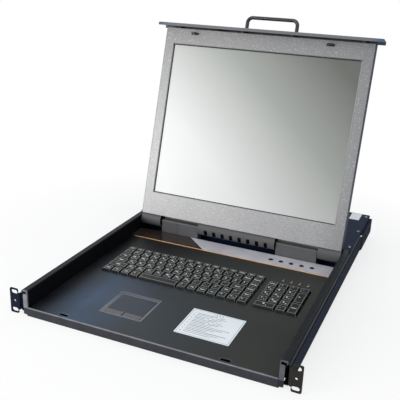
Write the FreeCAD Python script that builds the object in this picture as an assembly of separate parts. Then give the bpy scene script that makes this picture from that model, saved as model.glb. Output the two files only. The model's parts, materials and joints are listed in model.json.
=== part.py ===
import FreeCAD, Part
import math
import os

# Rackmount LCD console drawer, one rack unit high, with its lid standing open.
# Millimetres. +X is the operator's right, +Y runs back into the rack, +Z is up.
# While it is being built, Y = 0 is the front face of the rack ears and Z = 0 the underside of
# the tray; every piece is exported with the centre of the rack hole pattern as the origin.

V = FreeCAD.Vector

# ---- Rack interface ----
rack_width = 482.6
ear_height = 43.6
ear_centre_z = 21.9
ear_corner_radius = 2.5
rack_hole_edge = 8.75
rack_hole_span_z = 31.75
rack_slot_length = 12.0
rack_slot_width = 7.0
ear_pilot_diameter = 4.0
bracket_sheet = 2.0
bracket_height = 29.0
bracket_joggle_y = 503.0
bracket_joggle_depth = 2.2
rear_slot_length = 20.0
rear_slot_width = 5.5
rear_slot_pitch = 50.0
rear_slot_end_margin = 24.0
bracket_joggle_run = 6.0
ear_neck_gap = 1.4

# ---- Tray ----
tray_length = 608.0
tray_inner_width = 417.0
tray_height = 44.0
tray_sheet = 1.2
side_wall_length = 402.0
wall_cap_width = 10.8
wall_cap_hem = 4.5
lip_height = 14.5
lip_fold = 2.6
end_tab_width = 6.2
end_tab_height = 38.0

# ---- Ball slides ----
slide_thickness = 12.9
slide_centre_z = 22.0
outer_rail_height = 34.0
rail_sheet = 1.5
rail_bend = 0.6
ball_radius = 1.6
ball_sides = 8
track_clearance = 0.05
ball_gap = 2.3
web_gap = 1.3
outer_rail_lip = 8.8
middle_rail_lip = 7.0
outer_track_inset = 5.4
inner_track_inset = 4.9
outer_rail_start = 4.0
outer_rail_length = 496.0
middle_rail_start = 14.0
middle_rail_length = 476.0
inner_rail_start = 8.0
inner_rail_length = 472.0
cage_sheet = 0.8
cage_length = 240.0
outer_cage_start = 110.0
inner_cage_start = 125.0
cage_lip = 5.0
balls_per_track = 2

# ---- Deck ----
deck_height = 14.0
deck_sheet = 1.2
deck_side_gap = 0.4
deck_front_gap = 0.3
deck_end = 333.0
catch_slot_length = 15.0
catch_slot_width = 6.0
catch_slot_y = 9.6
left_catch_x = -145.5
right_catch_x = 127.0

# ---- Keyboard ----
main_keys_left = -178.0
main_keys_width = 277.0
main_keys_front = 171.3
key_row_pitch = 19.05
function_row_depth = 12.35
keypad_left = 108.4
keypad_width = 76.1
keypad_front = 172.0
keypad_row_pitch = 19.0
key_gap = 1.3
key_taper = 1.5
key_top_z = 18.3
key_skirt_z = 11.8
key_stem = 4.4
key_stem_gap = 0.2
key_stem_foot_z = 6.8
well_margin = 1.2
keyboard_foot_height = 1.2
keyboard_foot_width = 12.0
keyboard_foot_inset = 18.0
keyboard_plate_sheet = 1.0
membrane_sheet = 0.8
guide_plate_z = 7.5
guide_plate_sheet = 1.5
guide_rim = 1.6

# ---- Touchpad ----
touchpad_left = -103.8
touchpad_width = 74.6
touchpad_front = 45.8
touchpad_depth = 73.3
touchpad_rim = 1.4
touchpad_slope = 3.2
touchpad_floor_z = 10.2
touchpad_recess_z = 12.3
touch_button_depth = 10.8
touch_button_gap = 0.6
touch_button_top_z = 12.9
pad_top_z = 12.4
touchpad_base_sheet = 1.2
touchpad_flange = 3.0
touchpad_gap = 0.2
touch_stem = 3.0
touch_skirt_z = 11.2

# ---- Card, lights, control strip ----
card_left = 28.0
card_width = 90.0
card_front = 44.0
card_depth = 78.6
card_sheet = 0.3
status_light_x = 129.0
status_light_pitch = 15.0
status_light_y = 283.5
status_light_width = 3.2
status_light_depth = 1.4
status_light_foot = 2.5
status_light_count = 4
strip_front = 334.2
strip_back = 380.0
strip_width = 400.0
strip_base_z = 13.9
strip_base_sheet = 1.4
strip_film = 0.6
trim_depth = 1.8
trim_height = 1.0
diagonal_back_x = -96.0
diagonal_front_x = -50.0
panel_button_y = 357.0
panel_button_x = 82.0
panel_button_pitch = 20.0
panel_button_count = 5
panel_button_radius = 3.8
panel_button_gap = 0.1
panel_button_rise = 0.8
board_sheet = 1.6
button_board_z = 4.0
button_board_margin = 12.0
button_board_depth = 18.0
switch_height = 3.2
switch_width = 6.0
plunger_width = 2.8

# ---- Hinge ----
hinge_y = 390.8
hinge_z = 36.0
rest_angle = 105.8
hinge_pin_radius = 2.4
hinge_running_gap = 0.05
cover_inner_x = 82.5
cover_width = 80.0
cover_front_y = 382.0
cover_back_y = 403.0
cover_top_z = 40.2
cover_wall = 1.6
cover_corner_radius = 3.0
cover_seam_x = -128.0
knuckle_radius = 6.0
knuckle_width = 5.0
hinge_foot_front = 6.0
hinge_foot_back = 8.0
hinge_foot_sheet = 3.0
leaf_sheet = 2.0
leaf_length = 38.0
leaf_lap = 14.0
pin_inner_x = 60.0
pin_outer_x = 116.0

# ---- Lid ----
lid_width = 416.0
lid_thickness = 21.0
lid_face_drop = 14.0
lid_reach = 389.4
bezel_foot = 9.9
bezel_sheet = 1.5
lid_sheet = 1.2
barrel_radius = 14.5
barrel_gap = 2.0
opening_width = 378.0
opening_height = 303.0
opening_foot = 55.4
opening_return = 3.5
opening_slope = 1.2
vent_count = 8
vent_pitch = 18.0
vent_width = 7.0
vent_reach = 3.0
vent_drop = 1.0
display_side = 9.0
display_foot = 8.6
display_depth = 13.0
display_bracket_inset = 20.0
display_relief_width = 29.0
display_relief_depth = 5.0
glass_sheet = 1.2
glass_lap = 4.0
front_plate_width = 444.0
front_plate_reach = 397.4
front_plate_sheet = 1.5
front_plate_bottom_z = 8.5
front_plate_return = 6.0
spacer_radius = 4.0
spacer_outer_inset = 23.0
spacer_inner_x = 50.0
spacer_drop = 3.0
handle_width = 107.0
handle_centre_x = 5.0
handle_depth = 29.0
handle_radius = 3.5
handle_corner_radius = 10.0
handle_z = 37.0
latch_knob_x = -99.0
latch_knob_radius = 4.0
latch_knob_length = 3.6
latch_shank_radius = 2.4
latch_travel = 4.0
latch_bar_sheet = 2.0
latch_bar_depth = 9.0
latch_bar_overhang = 12.0
latch_guide_x = 60.0
latch_guide_length = 24.0
hook_reach = 12.0
hook_width = 9.0
hook_sheet = 3.0
hook_toe = 2.2
hook_slot_width = 5.2

# ---- Rear box ----
rear_cover_overhang = 13.0
rear_cover_hem = 4.5
bulkhead_y = 407.0
panel_sheet = 1.2
rear_vent_x = 62.0
rear_vent_pitch = 9.0
rear_vent_width = 3.0
rear_vent_low = 12.0
rear_vent_high = 33.0
rear_vent_count = 12
inlet_x = -166.3
inlet_width = 27.4
inlet_height = 20.0
inlet_depth = 22.0
inlet_wall = 1.5
inlet_bevel = 4.8
inlet_z = 21.0
video_x = -51.0
video_width = 18.0
video_height = 10.0
round_port_x = -23.3
round_port_pitch = 20.0
round_port_radius = 6.6
port_z = 17.0
port_body_depth = 14.0
controller_left = -95.0
controller_right = 50.0
controller_depth = 150.0
controller_z = 7.0
chip_width = 28.0
chip_height = 2.2
capacitor_radius = 4.0
capacitor_height = 11.0
supply_left = -200.0
supply_right = -115.0
supply_front_gap = 43.0
supply_back_gap = 28.0
supply_lift = 4.0
supply_height = 34.0
supply_slot_pitch = 14.0
supply_slot_width = 4.0
supply_foot_inset = 8.0
supply_slot_margin = 10.0
standoff_radius = 3.0


# ---------------------------------------------------------------- outlines and folded sheet
PLANES = {
    "x": lambda a, b, level: V(level, a, b),
    "y": lambda a, b, level: V(a, level, b),
    "z": lambda a, b, level: V(a, b, level),
}
DIRECTIONS = {"x": V(1, 0, 0), "y": V(0, 1, 0), "z": V(0, 0, 1)}


def unit(vector):
    return vector * (1.0 / vector.Length)


def rounded_corner(before, corner, after, radius):
    """Tangent points, middle point and centre of an arc that rounds a corner."""
    back, ahead = unit(before - corner), unit(after - corner)
    half = back.getAngle(ahead) / 2
    reach = radius / math.tan(half)
    centre = corner + unit(back + ahead) * (radius / math.sin(half))
    middle = centre + unit(corner - centre) * radius
    return corner + back * reach, middle, corner + ahead * reach, centre


def edges_through(stretches, axis, level):
    """Closed wire through a list of (start, middle or None, end) stretches."""
    place = PLANES[axis]
    edges = []
    for index, (start, middle, end) in enumerate(stretches):
        if middle is not None:
            points = [place(p.x, p.y, level) for p in (start, middle, end)]
            edges.append(Part.Arc(*points).toShape())
        follow = stretches[(index + 1) % len(stretches)][0]
        if end.distanceToPoint(follow) > 1e-6:
            straight = Part.LineSegment(place(end.x, end.y, level), place(follow.x, follow.y, level))
            edges.append(straight.toShape())
    return Part.Wire(edges)


def prism(corners, axis, low, high):
    """Solid of an outline drawn across an axis. A corner is (a, b) or (a, b, radius)."""
    flat = [V(c[0], c[1], 0) for c in corners]
    stretches = []
    for index, corner in enumerate(corners):
        here = flat[index]
        if len(corner) > 2 and corner[2] > 0:
            after = flat[(index + 1) % len(flat)]
            start, middle, end, _ = rounded_corner(flat[index - 1], here, after, corner[2])
            stretches.append((start, middle, end))
        else:
            stretches.append((here, None, here))
    face = Part.Face(edges_through(stretches, axis, low))
    return face.extrude(DIRECTIONS[axis] * (high - low))


def folded(path, sheet, bend, axis, low, high):
    """Folded sheet: the path runs along one face and the metal lies on its left."""
    flat = [V(a, b, 0) for a, b in path]
    normals = []
    for here, there in zip(flat, flat[1:]):
        along = unit(there - here)
        normals.append(V(-along.y, along.x, 0) * sheet)
    face_side = [(flat[0], None, flat[0])]
    far_side = [(flat[0] + normals[0], None, flat[0] + normals[0])]
    for index in range(1, len(flat) - 1):
        before, after = normals[index - 1], normals[index]
        turns_left = before.cross(after).z > 0
        radius = bend + sheet if turns_left else bend
        start, middle, end, centre = rounded_corner(flat[index - 1], flat[index], flat[index + 1], radius)
        far_radius = bend if turns_left else bend + sheet
        far_middle = centre + unit(middle - centre) * far_radius
        face_side.append((start, middle, end))
        far_side.append((end + after, far_middle, start + before))
    last = flat[-1]
    face_side.append((last, None, last))
    far_side.append((last + normals[-1], None, last + normals[-1]))
    face = Part.Face(edges_through(face_side + far_side[::-1], axis, low))
    return face.extrude(DIRECTIONS[axis] * (high - low))


def block(x0, x1, y0, y1, z0, z1):
    return Part.makeBox(x1 - x0, y1 - y0, z1 - z0, V(x0, y0, z0))


def rounded_plate(x0, x1, y0, y1, z0, z1, radius):
    return prism([(x0, y0, radius), (x1, y0, radius), (x1, y1, radius), (x0, y1, radius)], "z", z0, z1)


def stadium(centre_a, centre_b, length, width, axis, low, high):
    """Slot with round ends, long along the outline's first direction."""
    a, b, round_end = length / 2, width / 2, width / 2 - 1e-4
    corners = [(centre_a + i * a, centre_b + j * b, round_end)
               for i, j in ((-1, -1), (1, -1), (1, 1), (-1, 1))]
    return prism(corners, axis, low, high)


def rod(radius, start, end):
    along = end - start
    return Part.makeCylinder(radius, along.Length, start, along)


def hexagon(a, b, radius):
    """Corners of a hexagon about a point."""
    return [(a + radius * math.cos(math.radians(60 * side)), b + radius * math.sin(math.radians(60 * side)))
            for side in range(6)]


def hex_post(x, y, z0, z1):
    """Hexagonal standoff between two heights."""
    return prism(hexagon(x, y, standoff_radius), "z", z0, z1)


def ball_flat():
    """Distance of a ball's flats from its centre, its ridges being at the ball's own radius."""
    return ball_radius * math.cos(math.pi / ball_sides)


def ball(centre):
    """Bearing ball, drawn with eighteen flats."""
    reach = ball_flat()
    cube = Part.makeBox(2 * reach, 2 * reach, 2 * reach, V(-reach, -reach, -reach))
    shape = cube
    for direction in DIRECTIONS.values():
        turned = cube.copy()
        turned.rotate(V(0, 0, 0), direction, 360 / ball_sides)
        shape = shape.common(turned)
    shape.translate(centre)
    return shape


def fuse(shapes):
    return shapes[0].fuse(shapes[1:]).removeSplitter()


def group(shapes):
    return Part.Compound(shapes)


def mirrored(shape):
    return shape.mirror(V(0, 0, 0), V(1, 0, 0))


def frustum(low_points, high_points):
    """Solid with flat sides between two outlines of as many corners."""
    count = len(low_points)
    loops = [low_points[::-1], high_points]
    loops += [[low_points[i], low_points[(i + 1) % count], high_points[(i + 1) % count], high_points[i]]
              for i in range(count)]
    faces = [Part.Face(Part.makePolygon(loop + loop[:1])) for loop in loops]
    solid = Part.Solid(Part.Shell(faces))
    if solid.Volume < 0:
        solid.reverse()
    return solid


def rectangle(x0, x1, y0, y1, inset, z):
    """Corners of a rectangle drawn in from its edges, at one height."""
    return [V(x0 + inset, y0 + inset, z), V(x1 - inset, y0 + inset, z),
            V(x1 - inset, y1 - inset, z), V(x0 + inset, y1 - inset, z)]


def swung_open(shape):
    """Turn a lid piece, drawn with the lid shut, to the angle at which the lid stands."""
    turned = shape.copy()
    turned.rotate(V(0, hinge_y, hinge_z), V(1, 0, 0), -rest_angle)
    return turned


# ---------------------------------------------------------------- derived places
rack_hole_span_x = rack_width - 2 * rack_hole_edge
inner_half = tray_inner_width / 2
wall_outer = inner_half + tray_sheet
cap_outer = inner_half + wall_cap_width
bracket_face = wall_outer + slide_thickness
outer_half = outer_rail_height / 2
outer_track = outer_half - rail_sheet - ball_gap / 2
middle_half = outer_half - rail_sheet - ball_gap
inner_track = middle_half - rail_sheet - ball_gap / 2
inner_rail_half = middle_half - rail_sheet - ball_gap
middle_web = bracket_face - rail_sheet - web_gap
inner_rail_tip = middle_web - rail_sheet - web_gap
outer_track_x = bracket_face - outer_track_inset
inner_track_x = wall_outer + inner_track_inset
deck_half = inner_half - deck_side_gap
deck_front = lip_fold + deck_front_gap
guide_plate_top = guide_plate_z + guide_plate_sheet
keyboard_plate_z = tray_sheet + keyboard_foot_height
membrane_z = keyboard_plate_z + keyboard_plate_sheet
guide_foot_z = membrane_z + membrane_sheet
deck_under = deck_height - deck_sheet
lid_half = lid_width / 2
lid_face_z = hinge_z - lid_face_drop
lid_back_z = lid_face_z + lid_thickness
lid_top_y = hinge_y - lid_reach
bezel_foot_y = hinge_y - bezel_foot
bezel_back_z = lid_face_z + bezel_sheet
opening_low_y = hinge_y - opening_foot
opening_high_y = opening_low_y - opening_height
glass_face_z = lid_face_z + opening_return + 0.1
display_face_z = glass_face_z + glass_sheet
front_plate_y = hinge_y - front_plate_reach
cover_outer_x = cover_inner_x + cover_width


# ---------------------------------------------------------------- rack brackets and slides
def rack_bracket():
    """Side bracket folded from one strip: ear at the front, joggled tail with slots at the back."""
    joggle_out = bracket_face + bracket_joggle_depth
    path = [(joggle_out, tray_length), (joggle_out, bracket_joggle_y),
            (bracket_face, bracket_joggle_y - bracket_joggle_run), (bracket_face, 0), (rack_width / 2, 0)]
    ear_low = ear_centre_z - ear_height / 2
    strip = folded(path, bracket_sheet, 1.0, "z", ear_low, ear_low + ear_height)
    neck = bracket_face + bracket_sheet + ear_neck_gap
    ear_top = ear_low + ear_height
    corner = ear_corner_radius
    ear_zone = prism([(neck, ear_low, corner), (rack_width / 2, ear_low, corner),
                      (rack_width / 2, ear_top, corner), (neck, ear_top, corner)], "y", -1, bracket_sheet + 1)
    side_low = slide_centre_z - bracket_height / 2
    side_zone = block(bracket_face - 1, joggle_out + bracket_sheet + 1, -1, tray_length + 1,
                      side_low, side_low + bracket_height)
    shape = strip.common(fuse([ear_zone, side_zone]))
    cutters = []
    for level in (-1, 1):
        hole_z = ear_centre_z + level * rack_hole_span_z / 2
        cutters.append(stadium(rack_hole_span_x / 2, hole_z, rack_slot_length, rack_slot_width, "y", -1, 3))
    cutters.append(rod(ear_pilot_diameter / 2, V(rack_hole_span_x / 2, -1, ear_centre_z),
                       V(rack_hole_span_x / 2, 3, ear_centre_z)))
    for index in (0, 1):
        slot_y = tray_length - rear_slot_end_margin - index * rear_slot_pitch
        cutters.append(stadium(slot_y, slide_centre_z, rear_slot_length, rear_slot_width, "x",
                               bracket_face, joggle_out + bracket_sheet + 1))
    return shape.cut(cutters)


def channel_rail(web_x, tip_x, half_height, start, length):
    """Rolled C-section rail: straight web at web_x, flanges reaching to tip_x."""
    low, high = slide_centre_z - half_height, slide_centre_z + half_height
    path = [(tip_x, low), (web_x, low), (web_x, high), (tip_x, high)]
    if web_x < tip_x:
        path = path[::-1]
    return folded(path, rail_sheet, rail_bend, "y", start, start + length)


def ball_tracks(x, offset, start, length):
    """Cutters for the pair of grooves that the balls run in."""
    radius = ball_radius + track_clearance
    return [rod(radius, V(x, start - 1, slide_centre_z + side * offset),
                V(x, start + length + 1, slide_centre_z + side * offset)) for side in (-1, 1)]


def outer_rail():
    """Outermost member, spot-welded flat against the bracket."""
    rail = channel_rail(bracket_face, bracket_face - outer_rail_lip, outer_half, outer_rail_start,
                        outer_rail_length)
    return rail.cut(ball_tracks(outer_track_x, outer_track, outer_rail_start, outer_rail_length))


def middle_rail():
    rail = channel_rail(middle_web, middle_web - middle_rail_lip, middle_half, middle_rail_start,
                        middle_rail_length)
    outside = ball_tracks(outer_track_x, outer_track, middle_rail_start, middle_rail_length)
    inside = ball_tracks(inner_track_x, inner_track, middle_rail_start, middle_rail_length)
    return rail.cut(outside + inside)


def inner_rail():
    """Innermost member, spot-welded flat against the tray's wall."""
    rail = channel_rail(wall_outer, inner_rail_tip, inner_rail_half, inner_rail_start, inner_rail_length)
    return rail.cut(ball_tracks(inner_track_x, inner_track, inner_rail_start, inner_rail_length))


def ball_cage(gap_middle_x, track_x, track_offset, start):
    """U-shaped cage between two rails, with its balls held in square windows."""
    half = track_offset + cage_sheet / 2
    web = gap_middle_x + cage_sheet / 2
    low, high = slide_centre_z - half, slide_centre_z + half
    path = [(web - cage_lip, low), (web, low), (web, high), (web - cage_lip, high)]
    cage = folded(path, cage_sheet, 0.2, "y", start, start + cage_length)
    balls, pockets = [], []
    spacing = cage_length / balls_per_track
    for index in range(balls_per_track):
        for side in (-1, 1):
            centre = V(track_x, start + spacing * (index + 0.5), slide_centre_z + side * track_offset)
            balls.append(ball(centre))
            reach = ball_flat() + track_clearance
            pockets.append(block(centre.x - reach, centre.x + reach, centre.y - reach, centre.y + reach,
                                 centre.z - cage_sheet, centre.z + cage_sheet))
    return group([cage.cut(pockets)] + balls)


def outer_ball_cage():
    return ball_cage(bracket_face - rail_sheet - web_gap / 2, outer_track_x, outer_track, outer_cage_start)


def inner_ball_cage():
    return ball_cage(inner_rail_tip + web_gap / 2, inner_track_x, inner_track, inner_cage_start)


# ---------------------------------------------------------------- tray and deck
def drawer_tray():
    """One folded sheet: floor, side walls capped by inverted channels, front lip and end tabs."""
    top, hem = tray_height, tray_height - wall_cap_hem
    profile = [(cap_outer, hem), (cap_outer, top), (inner_half, top), (inner_half, tray_sheet),
               (-inner_half, tray_sheet), (-inner_half, top), (-cap_outer, top), (-cap_outer, hem)]
    front = folded(profile, tray_sheet, 0.4, "y", 0, side_wall_length)
    wall_top = tray_height - tray_sheet
    rear_profile = [(inner_half, wall_top), (inner_half, tray_sheet), (-inner_half, tray_sheet),
                    (-inner_half, wall_top)]
    rear = folded(rear_profile, tray_sheet, 0.4, "y", side_wall_length, tray_length)
    lip_path = [(lip_fold, lip_height - 4.5), (lip_fold, lip_height), (0, lip_height), (0, 0), (12, 0)]
    lip = folded(lip_path, tray_sheet, lip_fold / 2 - tray_sheet, "x", -inner_half, inner_half)
    tab = prism([(inner_half, 2.5), (wall_outer + end_tab_width, 2.5, 1.5),
                 (wall_outer + end_tab_width, end_tab_height, 1.5), (inner_half, end_tab_height)],
                "y", 0, tray_sheet)
    return fuse([front, rear, lip, tab, mirrored(tab)])


def key_places():
    """Every key as (row name, x0, x1, y0, y1), in whole cells of the key grid."""
    unit_width = main_keys_width / 15
    rows = [
        ("keys_bottom_row", [1, 1, 1, 1, -4, 1, 1, 1, 1, 1, 1, 1], key_row_pitch),
        ("keys_lower_row", [2] + [1] * 13, key_row_pitch),
        ("keys_home_row", [1.5] + [1] * 11 + [1.5, 1], key_row_pitch),
        ("keys_upper_row", [1.25] + [1] * 12 + [0.75, 1], key_row_pitch),
        ("keys_number_row", [1] * 15, key_row_pitch),
        ("keys_function_row", [15 / 16] * 16, function_row_depth),
    ]
    places = []
    y = main_keys_front
    for name, widths, depth in rows:
        x = main_keys_left
        for width in widths:
            row = "space_bar" if width < 0 else name
            step = abs(width) * unit_width
            places.append((row, x, x + step, y, y + depth))
            x += step
        y += depth
    cell = keypad_width / 4
    grid = [(0, 0, 2, 1), (2, 0, 1, 1), (3, 0, 1, 2), (3, 2, 1, 2)]
    grid += [(column, level, 1, 1) for level in (1, 2, 3) for column in (0, 1, 2)]
    grid += [(column, 4, 1, 1) for column in range(4)]
    for column, level, wide, deep in grid:
        x = keypad_left + column * cell
        y = keypad_front + level * keypad_row_pitch
        places.append(("keypad_keys", x, x + wide * cell, y, y + deep * keypad_row_pitch))
    return places


def key_stems(x0, x1, y0, y1):
    """Centres of the stems under one key: one in the middle, two under a long bar."""
    middle = (y0 + y1) / 2
    if x1 - x0 > 3 * key_row_pitch:
        quarter = (x1 - x0) / 4
        return [(x0 + quarter, middle), (x1 - quarter, middle)]
    return [((x0 + x1) / 2, middle)]


def key_cap(x0, x1, y0, y1):
    """Tapered cap, and the stems that slide in the guide plate."""
    skirt = rectangle(x0, x1, y0, y1, key_gap / 2, key_skirt_z)
    crown = rectangle(x0, x1, y0, y1, key_gap / 2 + key_taper, key_top_z)
    cap = frustum(skirt, crown)
    half = key_stem / 2
    stems = [block(x - half, x + half, y - half, y + half, key_stem_foot_z, key_skirt_z + 1)
             for x, y in key_stems(x0, x1, y0, y1)]
    return cap.fuse(stems)


def key_rows():
    rows = {}
    for name, x0, x1, y0, y1 in key_places():
        rows.setdefault(name, []).append(key_cap(x0, x1, y0, y1))
    return {name: group(caps) for name, caps in rows.items()}


def key_wells(margin):
    """Outlines (x0, x1, y0, y1) of the two key blocks, widened by a margin."""
    main_depth = 5 * key_row_pitch + function_row_depth
    main = (main_keys_left - margin, main_keys_left + main_keys_width + margin,
            main_keys_front - margin, main_keys_front + main_depth + margin)
    keypad = (keypad_left - margin, keypad_left + keypad_width + margin,
              keypad_front - margin, keypad_front + 5 * keypad_row_pitch + margin)
    return main, keypad


def deck_plate():
    """Deck folded down at its sides and ends, pierced for all that shows through it."""
    path = [(deck_half, tray_sheet), (deck_half, deck_height),
            (-deck_half, deck_height), (-deck_half, tray_sheet)]
    sheet = folded(path, deck_sheet, 0.6, "y", deck_front, deck_end)
    inside = deck_half - deck_sheet
    ends = [block(-inside, inside, y, y + deck_sheet, tray_sheet, deck_height - deck_sheet / 2)
            for y in (deck_front, deck_end - deck_sheet)]
    top, low = deck_height + 1, deck_under - 1
    cutters = [block(*well, low, top) for well in key_wells(well_margin)]
    gap = touchpad_gap
    cutters.append(rounded_plate(touchpad_left - gap, touchpad_left + touchpad_width + gap,
                                 touchpad_front - gap, touchpad_front + touchpad_depth + gap, low, top, 1.5))
    reach = catch_slot_length / 2
    slot_front, slot_back = catch_slot_y - catch_slot_width / 2, catch_slot_y + catch_slot_width / 2
    for x in (left_catch_x, right_catch_x):
        cutters.append(block(x - reach, x + reach, slot_front, slot_back, low, top))
    for x in status_light_places():
        cutters.append(status_window(x, low, top))
    return fuse([sheet] + ends).cut(cutters)


def status_light_places():
    return [status_light_x + index * status_light_pitch for index in range(status_light_count)]


def status_window(x, z0, z1):
    reach_x, reach_y = status_light_width / 2, status_light_depth / 2
    return block(x - reach_x, x + reach_x, status_light_y - reach_y, status_light_y + reach_y, z0, z1)


def status_lights():
    """Light pipes: a flange under the deck and a lens just proud of it."""
    pipes = []
    for x in status_light_places():
        lens = status_window(x, deck_under, deck_height + 0.2)
        flange = block(x - status_light_width, x + status_light_width, status_light_y - status_light_depth,
                       status_light_y + status_light_depth, deck_under - status_light_foot, deck_under)
        pipes.append(lens.fuse(flange))
    return group(pipes)


# ---------------------------------------------------------------- keyboard inside the deck
def keyboard_outline(margin):
    main, keypad = key_wells(margin)
    return main[0], keypad[1], main[2], main[3]


def keyboard_frame():
    """Guide frame: a plate with a square hole for every key stem, and a rim up to the deck."""
    x0, x1, y0, y1 = keyboard_outline(well_margin + guide_rim)
    frame = block(x0, x1, y0, y1, guide_foot_z, deck_under)
    room = (x0 + guide_rim, x1 - guide_rim, y0 + guide_rim, y1 - guide_rim)
    hollow = block(*room, guide_plate_top, deck_under + 1)
    under = block(*room, guide_foot_z - 1, guide_plate_z)
    reach = key_stem / 2 + key_stem_gap
    holes = []
    for _, kx0, kx1, ky0, ky1 in key_places():
        for x, y in key_stems(kx0, kx1, ky0, ky1):
            holes.append(block(x - reach, x + reach, y - reach, y + reach,
                               guide_plate_z - 1, guide_plate_top + 1))
    return frame.cut([hollow, under] + holes)


def keyboard_membrane():
    x0, x1, y0, y1 = keyboard_outline(well_margin + guide_rim)
    return block(x0, x1, y0, y1, membrane_z, guide_foot_z)


def keyboard_base_plate():
    """Steel plate on pressed feet."""
    x0, x1, y0, y1 = keyboard_outline(well_margin + guide_rim)
    plate = block(x0, x1, y0, y1, keyboard_plate_z, membrane_z)
    feet = []
    half = keyboard_foot_width / 2
    for x in (x0 + keyboard_foot_inset, (x0 + x1) / 2, x1 - keyboard_foot_inset):
        for y in (y0 + keyboard_foot_inset, y1 - keyboard_foot_inset):
            low = rectangle(x - half, x + half, y - half, y + half, keyboard_foot_height, tray_sheet)
            feet.append(frustum(low, rectangle(x - half, x + half, y - half, y + half, 0, keyboard_plate_z)))
    return fuse([plate] + feet)


# ---------------------------------------------------------------- touchpad
def touch_button_places():
    """Left and right button as (x0, x1, y0, y1)."""
    inset = touchpad_rim + touchpad_slope + 0.4
    x0, x1 = touchpad_left + inset, touchpad_left + touchpad_width - inset
    middle = (x0 + x1) / 2
    y0 = touchpad_front + inset
    back = y0 + touch_button_depth
    return [(x0, middle - touch_button_gap, y0, back), (middle + touch_button_gap, x1, y0, back)]


def touchpad_surround():
    """Moulded surround: sloping sides down to a recess, and a flange that hangs under the deck."""
    x0, x1 = touchpad_left, touchpad_left + touchpad_width
    y0, y1 = touchpad_front, touchpad_front + touchpad_depth
    base_z = touchpad_floor_z - touchpad_base_sheet
    body = rounded_plate(x0, x1, y0, y1, base_z, deck_height, 1.3)
    flange = rounded_plate(x0 - touchpad_flange, x1 + touchpad_flange, y0 - touchpad_flange,
                           y1 + touchpad_flange, deck_under - touchpad_base_sheet, deck_under, 2.5)
    inset = touchpad_rim + touchpad_slope
    slope = frustum(rectangle(x0, x1, y0, y1, inset, touchpad_recess_z),
                    rectangle(x0, x1, y0, y1, touchpad_rim, deck_height))
    pocket = block(x0 + inset, x1 - inset, y0 + inset, y1 - inset, touchpad_floor_z, touchpad_recess_z + 0.01)
    reach = touch_stem / 2 + key_stem_gap
    holes = [block(x - reach, x + reach, y - reach, y + reach, base_z - 1, touchpad_floor_z + 1)
             for x, y in touch_stem_places()]
    return fuse([body, flange]).cut([slope, pocket] + holes)


def touch_stem_places():
    return [((x0 + x1) / 2, (y0 + y1) / 2) for x0, x1, y0, y1 in touch_button_places()]


def touch_pad():
    inset = touchpad_rim + touchpad_slope + 0.3
    button_back = touch_button_places()[0][3]
    return rounded_plate(touchpad_left + inset, touchpad_left + touchpad_width - inset, button_back + 0.6,
                         touchpad_front + touchpad_depth - inset, touchpad_floor_z, pad_top_z, 0.8)


def touch_button(place):
    """Button with a crowned top and a stem through the surround's floor."""
    x0, x1, y0, y1 = place
    corners = [(x0, touch_skirt_z), (x1, touch_skirt_z), (x1, touch_button_top_z, 0.7),
               (x0, touch_button_top_z, 0.7)]
    cap = prism(corners, "y", y0, y1)
    x, y = (x0 + x1) / 2, (y0 + y1) / 2
    half = touch_stem / 2
    foot_z = touchpad_floor_z - 2 * touchpad_base_sheet
    return cap.fuse(block(x - half, x + half, y - half, y + half, foot_z, touch_skirt_z + 0.5))


def guide_card():
    return rounded_plate(card_left, card_left + card_width, card_front, card_front + card_depth,
                         deck_height, deck_height + card_sheet, 1.5)


# ---------------------------------------------------------------- control strip
def panel_button_places():
    return [panel_button_x + index * panel_button_pitch for index in range(panel_button_count)]


def control_panel():
    """Folded carrier of the control strip, with holes for its buttons."""
    path = [(strip_back, tray_sheet), (strip_back, strip_base_z), (strip_front, strip_base_z),
            (strip_front, tray_sheet)]
    carrier = folded(path, strip_base_sheet, 0.4, "x", -deck_half, deck_half)
    return carrier.cut(button_holes())


def button_holes():
    radius = panel_button_radius + panel_button_gap
    return [rod(radius, V(x, panel_button_y, strip_base_z - 4), V(x, panel_button_y, strip_base_z + 4))
            for x in panel_button_places()]


def strip_film_outline(left, right_back, right_front):
    front = strip_front + trim_depth
    return [(left, front), (right_front, front), (right_back, strip_back), (left, strip_back)]


def panel_dark_film():
    outline = strip_film_outline(-strip_width / 2, diagonal_back_x, diagonal_front_x)
    return prism(outline, "z", strip_base_z, strip_base_z + strip_film)


def panel_silver_film():
    outline = strip_film_outline(strip_width / 2, diagonal_back_x, diagonal_front_x)
    return prism(outline, "z", strip_base_z, strip_base_z + strip_film).cut(button_holes())


def trim_line():
    """Rounded accent strip along the front edge of the control strip."""
    top = strip_base_z + trim_height
    corners = [(strip_front, strip_base_z), (strip_front + trim_depth, strip_base_z),
               (strip_front + trim_depth, top, 0.5), (strip_front, top, 0.5)]
    return prism(corners, "x", -strip_width / 2, strip_width / 2)


def panel_button(x):
    """Round button with a chamfered cap through the strip, and a square flange that keeps it in."""
    top = strip_base_z + strip_film + panel_button_rise
    under = strip_base_z - strip_base_sheet
    radius, y = panel_button_radius, panel_button_y
    profile = [(0, under - 1), (radius, under - 1), (radius, top - 0.3), (radius - 0.5, top), (0, top)]
    wire = Part.makePolygon([V(x + r, y, z) for r, z in profile + profile[:1]])
    cap = Part.Face(wire).revolve(V(x, y, 0), V(0, 0, 1), 360)
    reach = radius + 0.9
    flange = block(x - reach, x + reach, y - reach, y + reach, under - 2.0, under - 0.2)
    return cap.fuse(flange)


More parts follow.
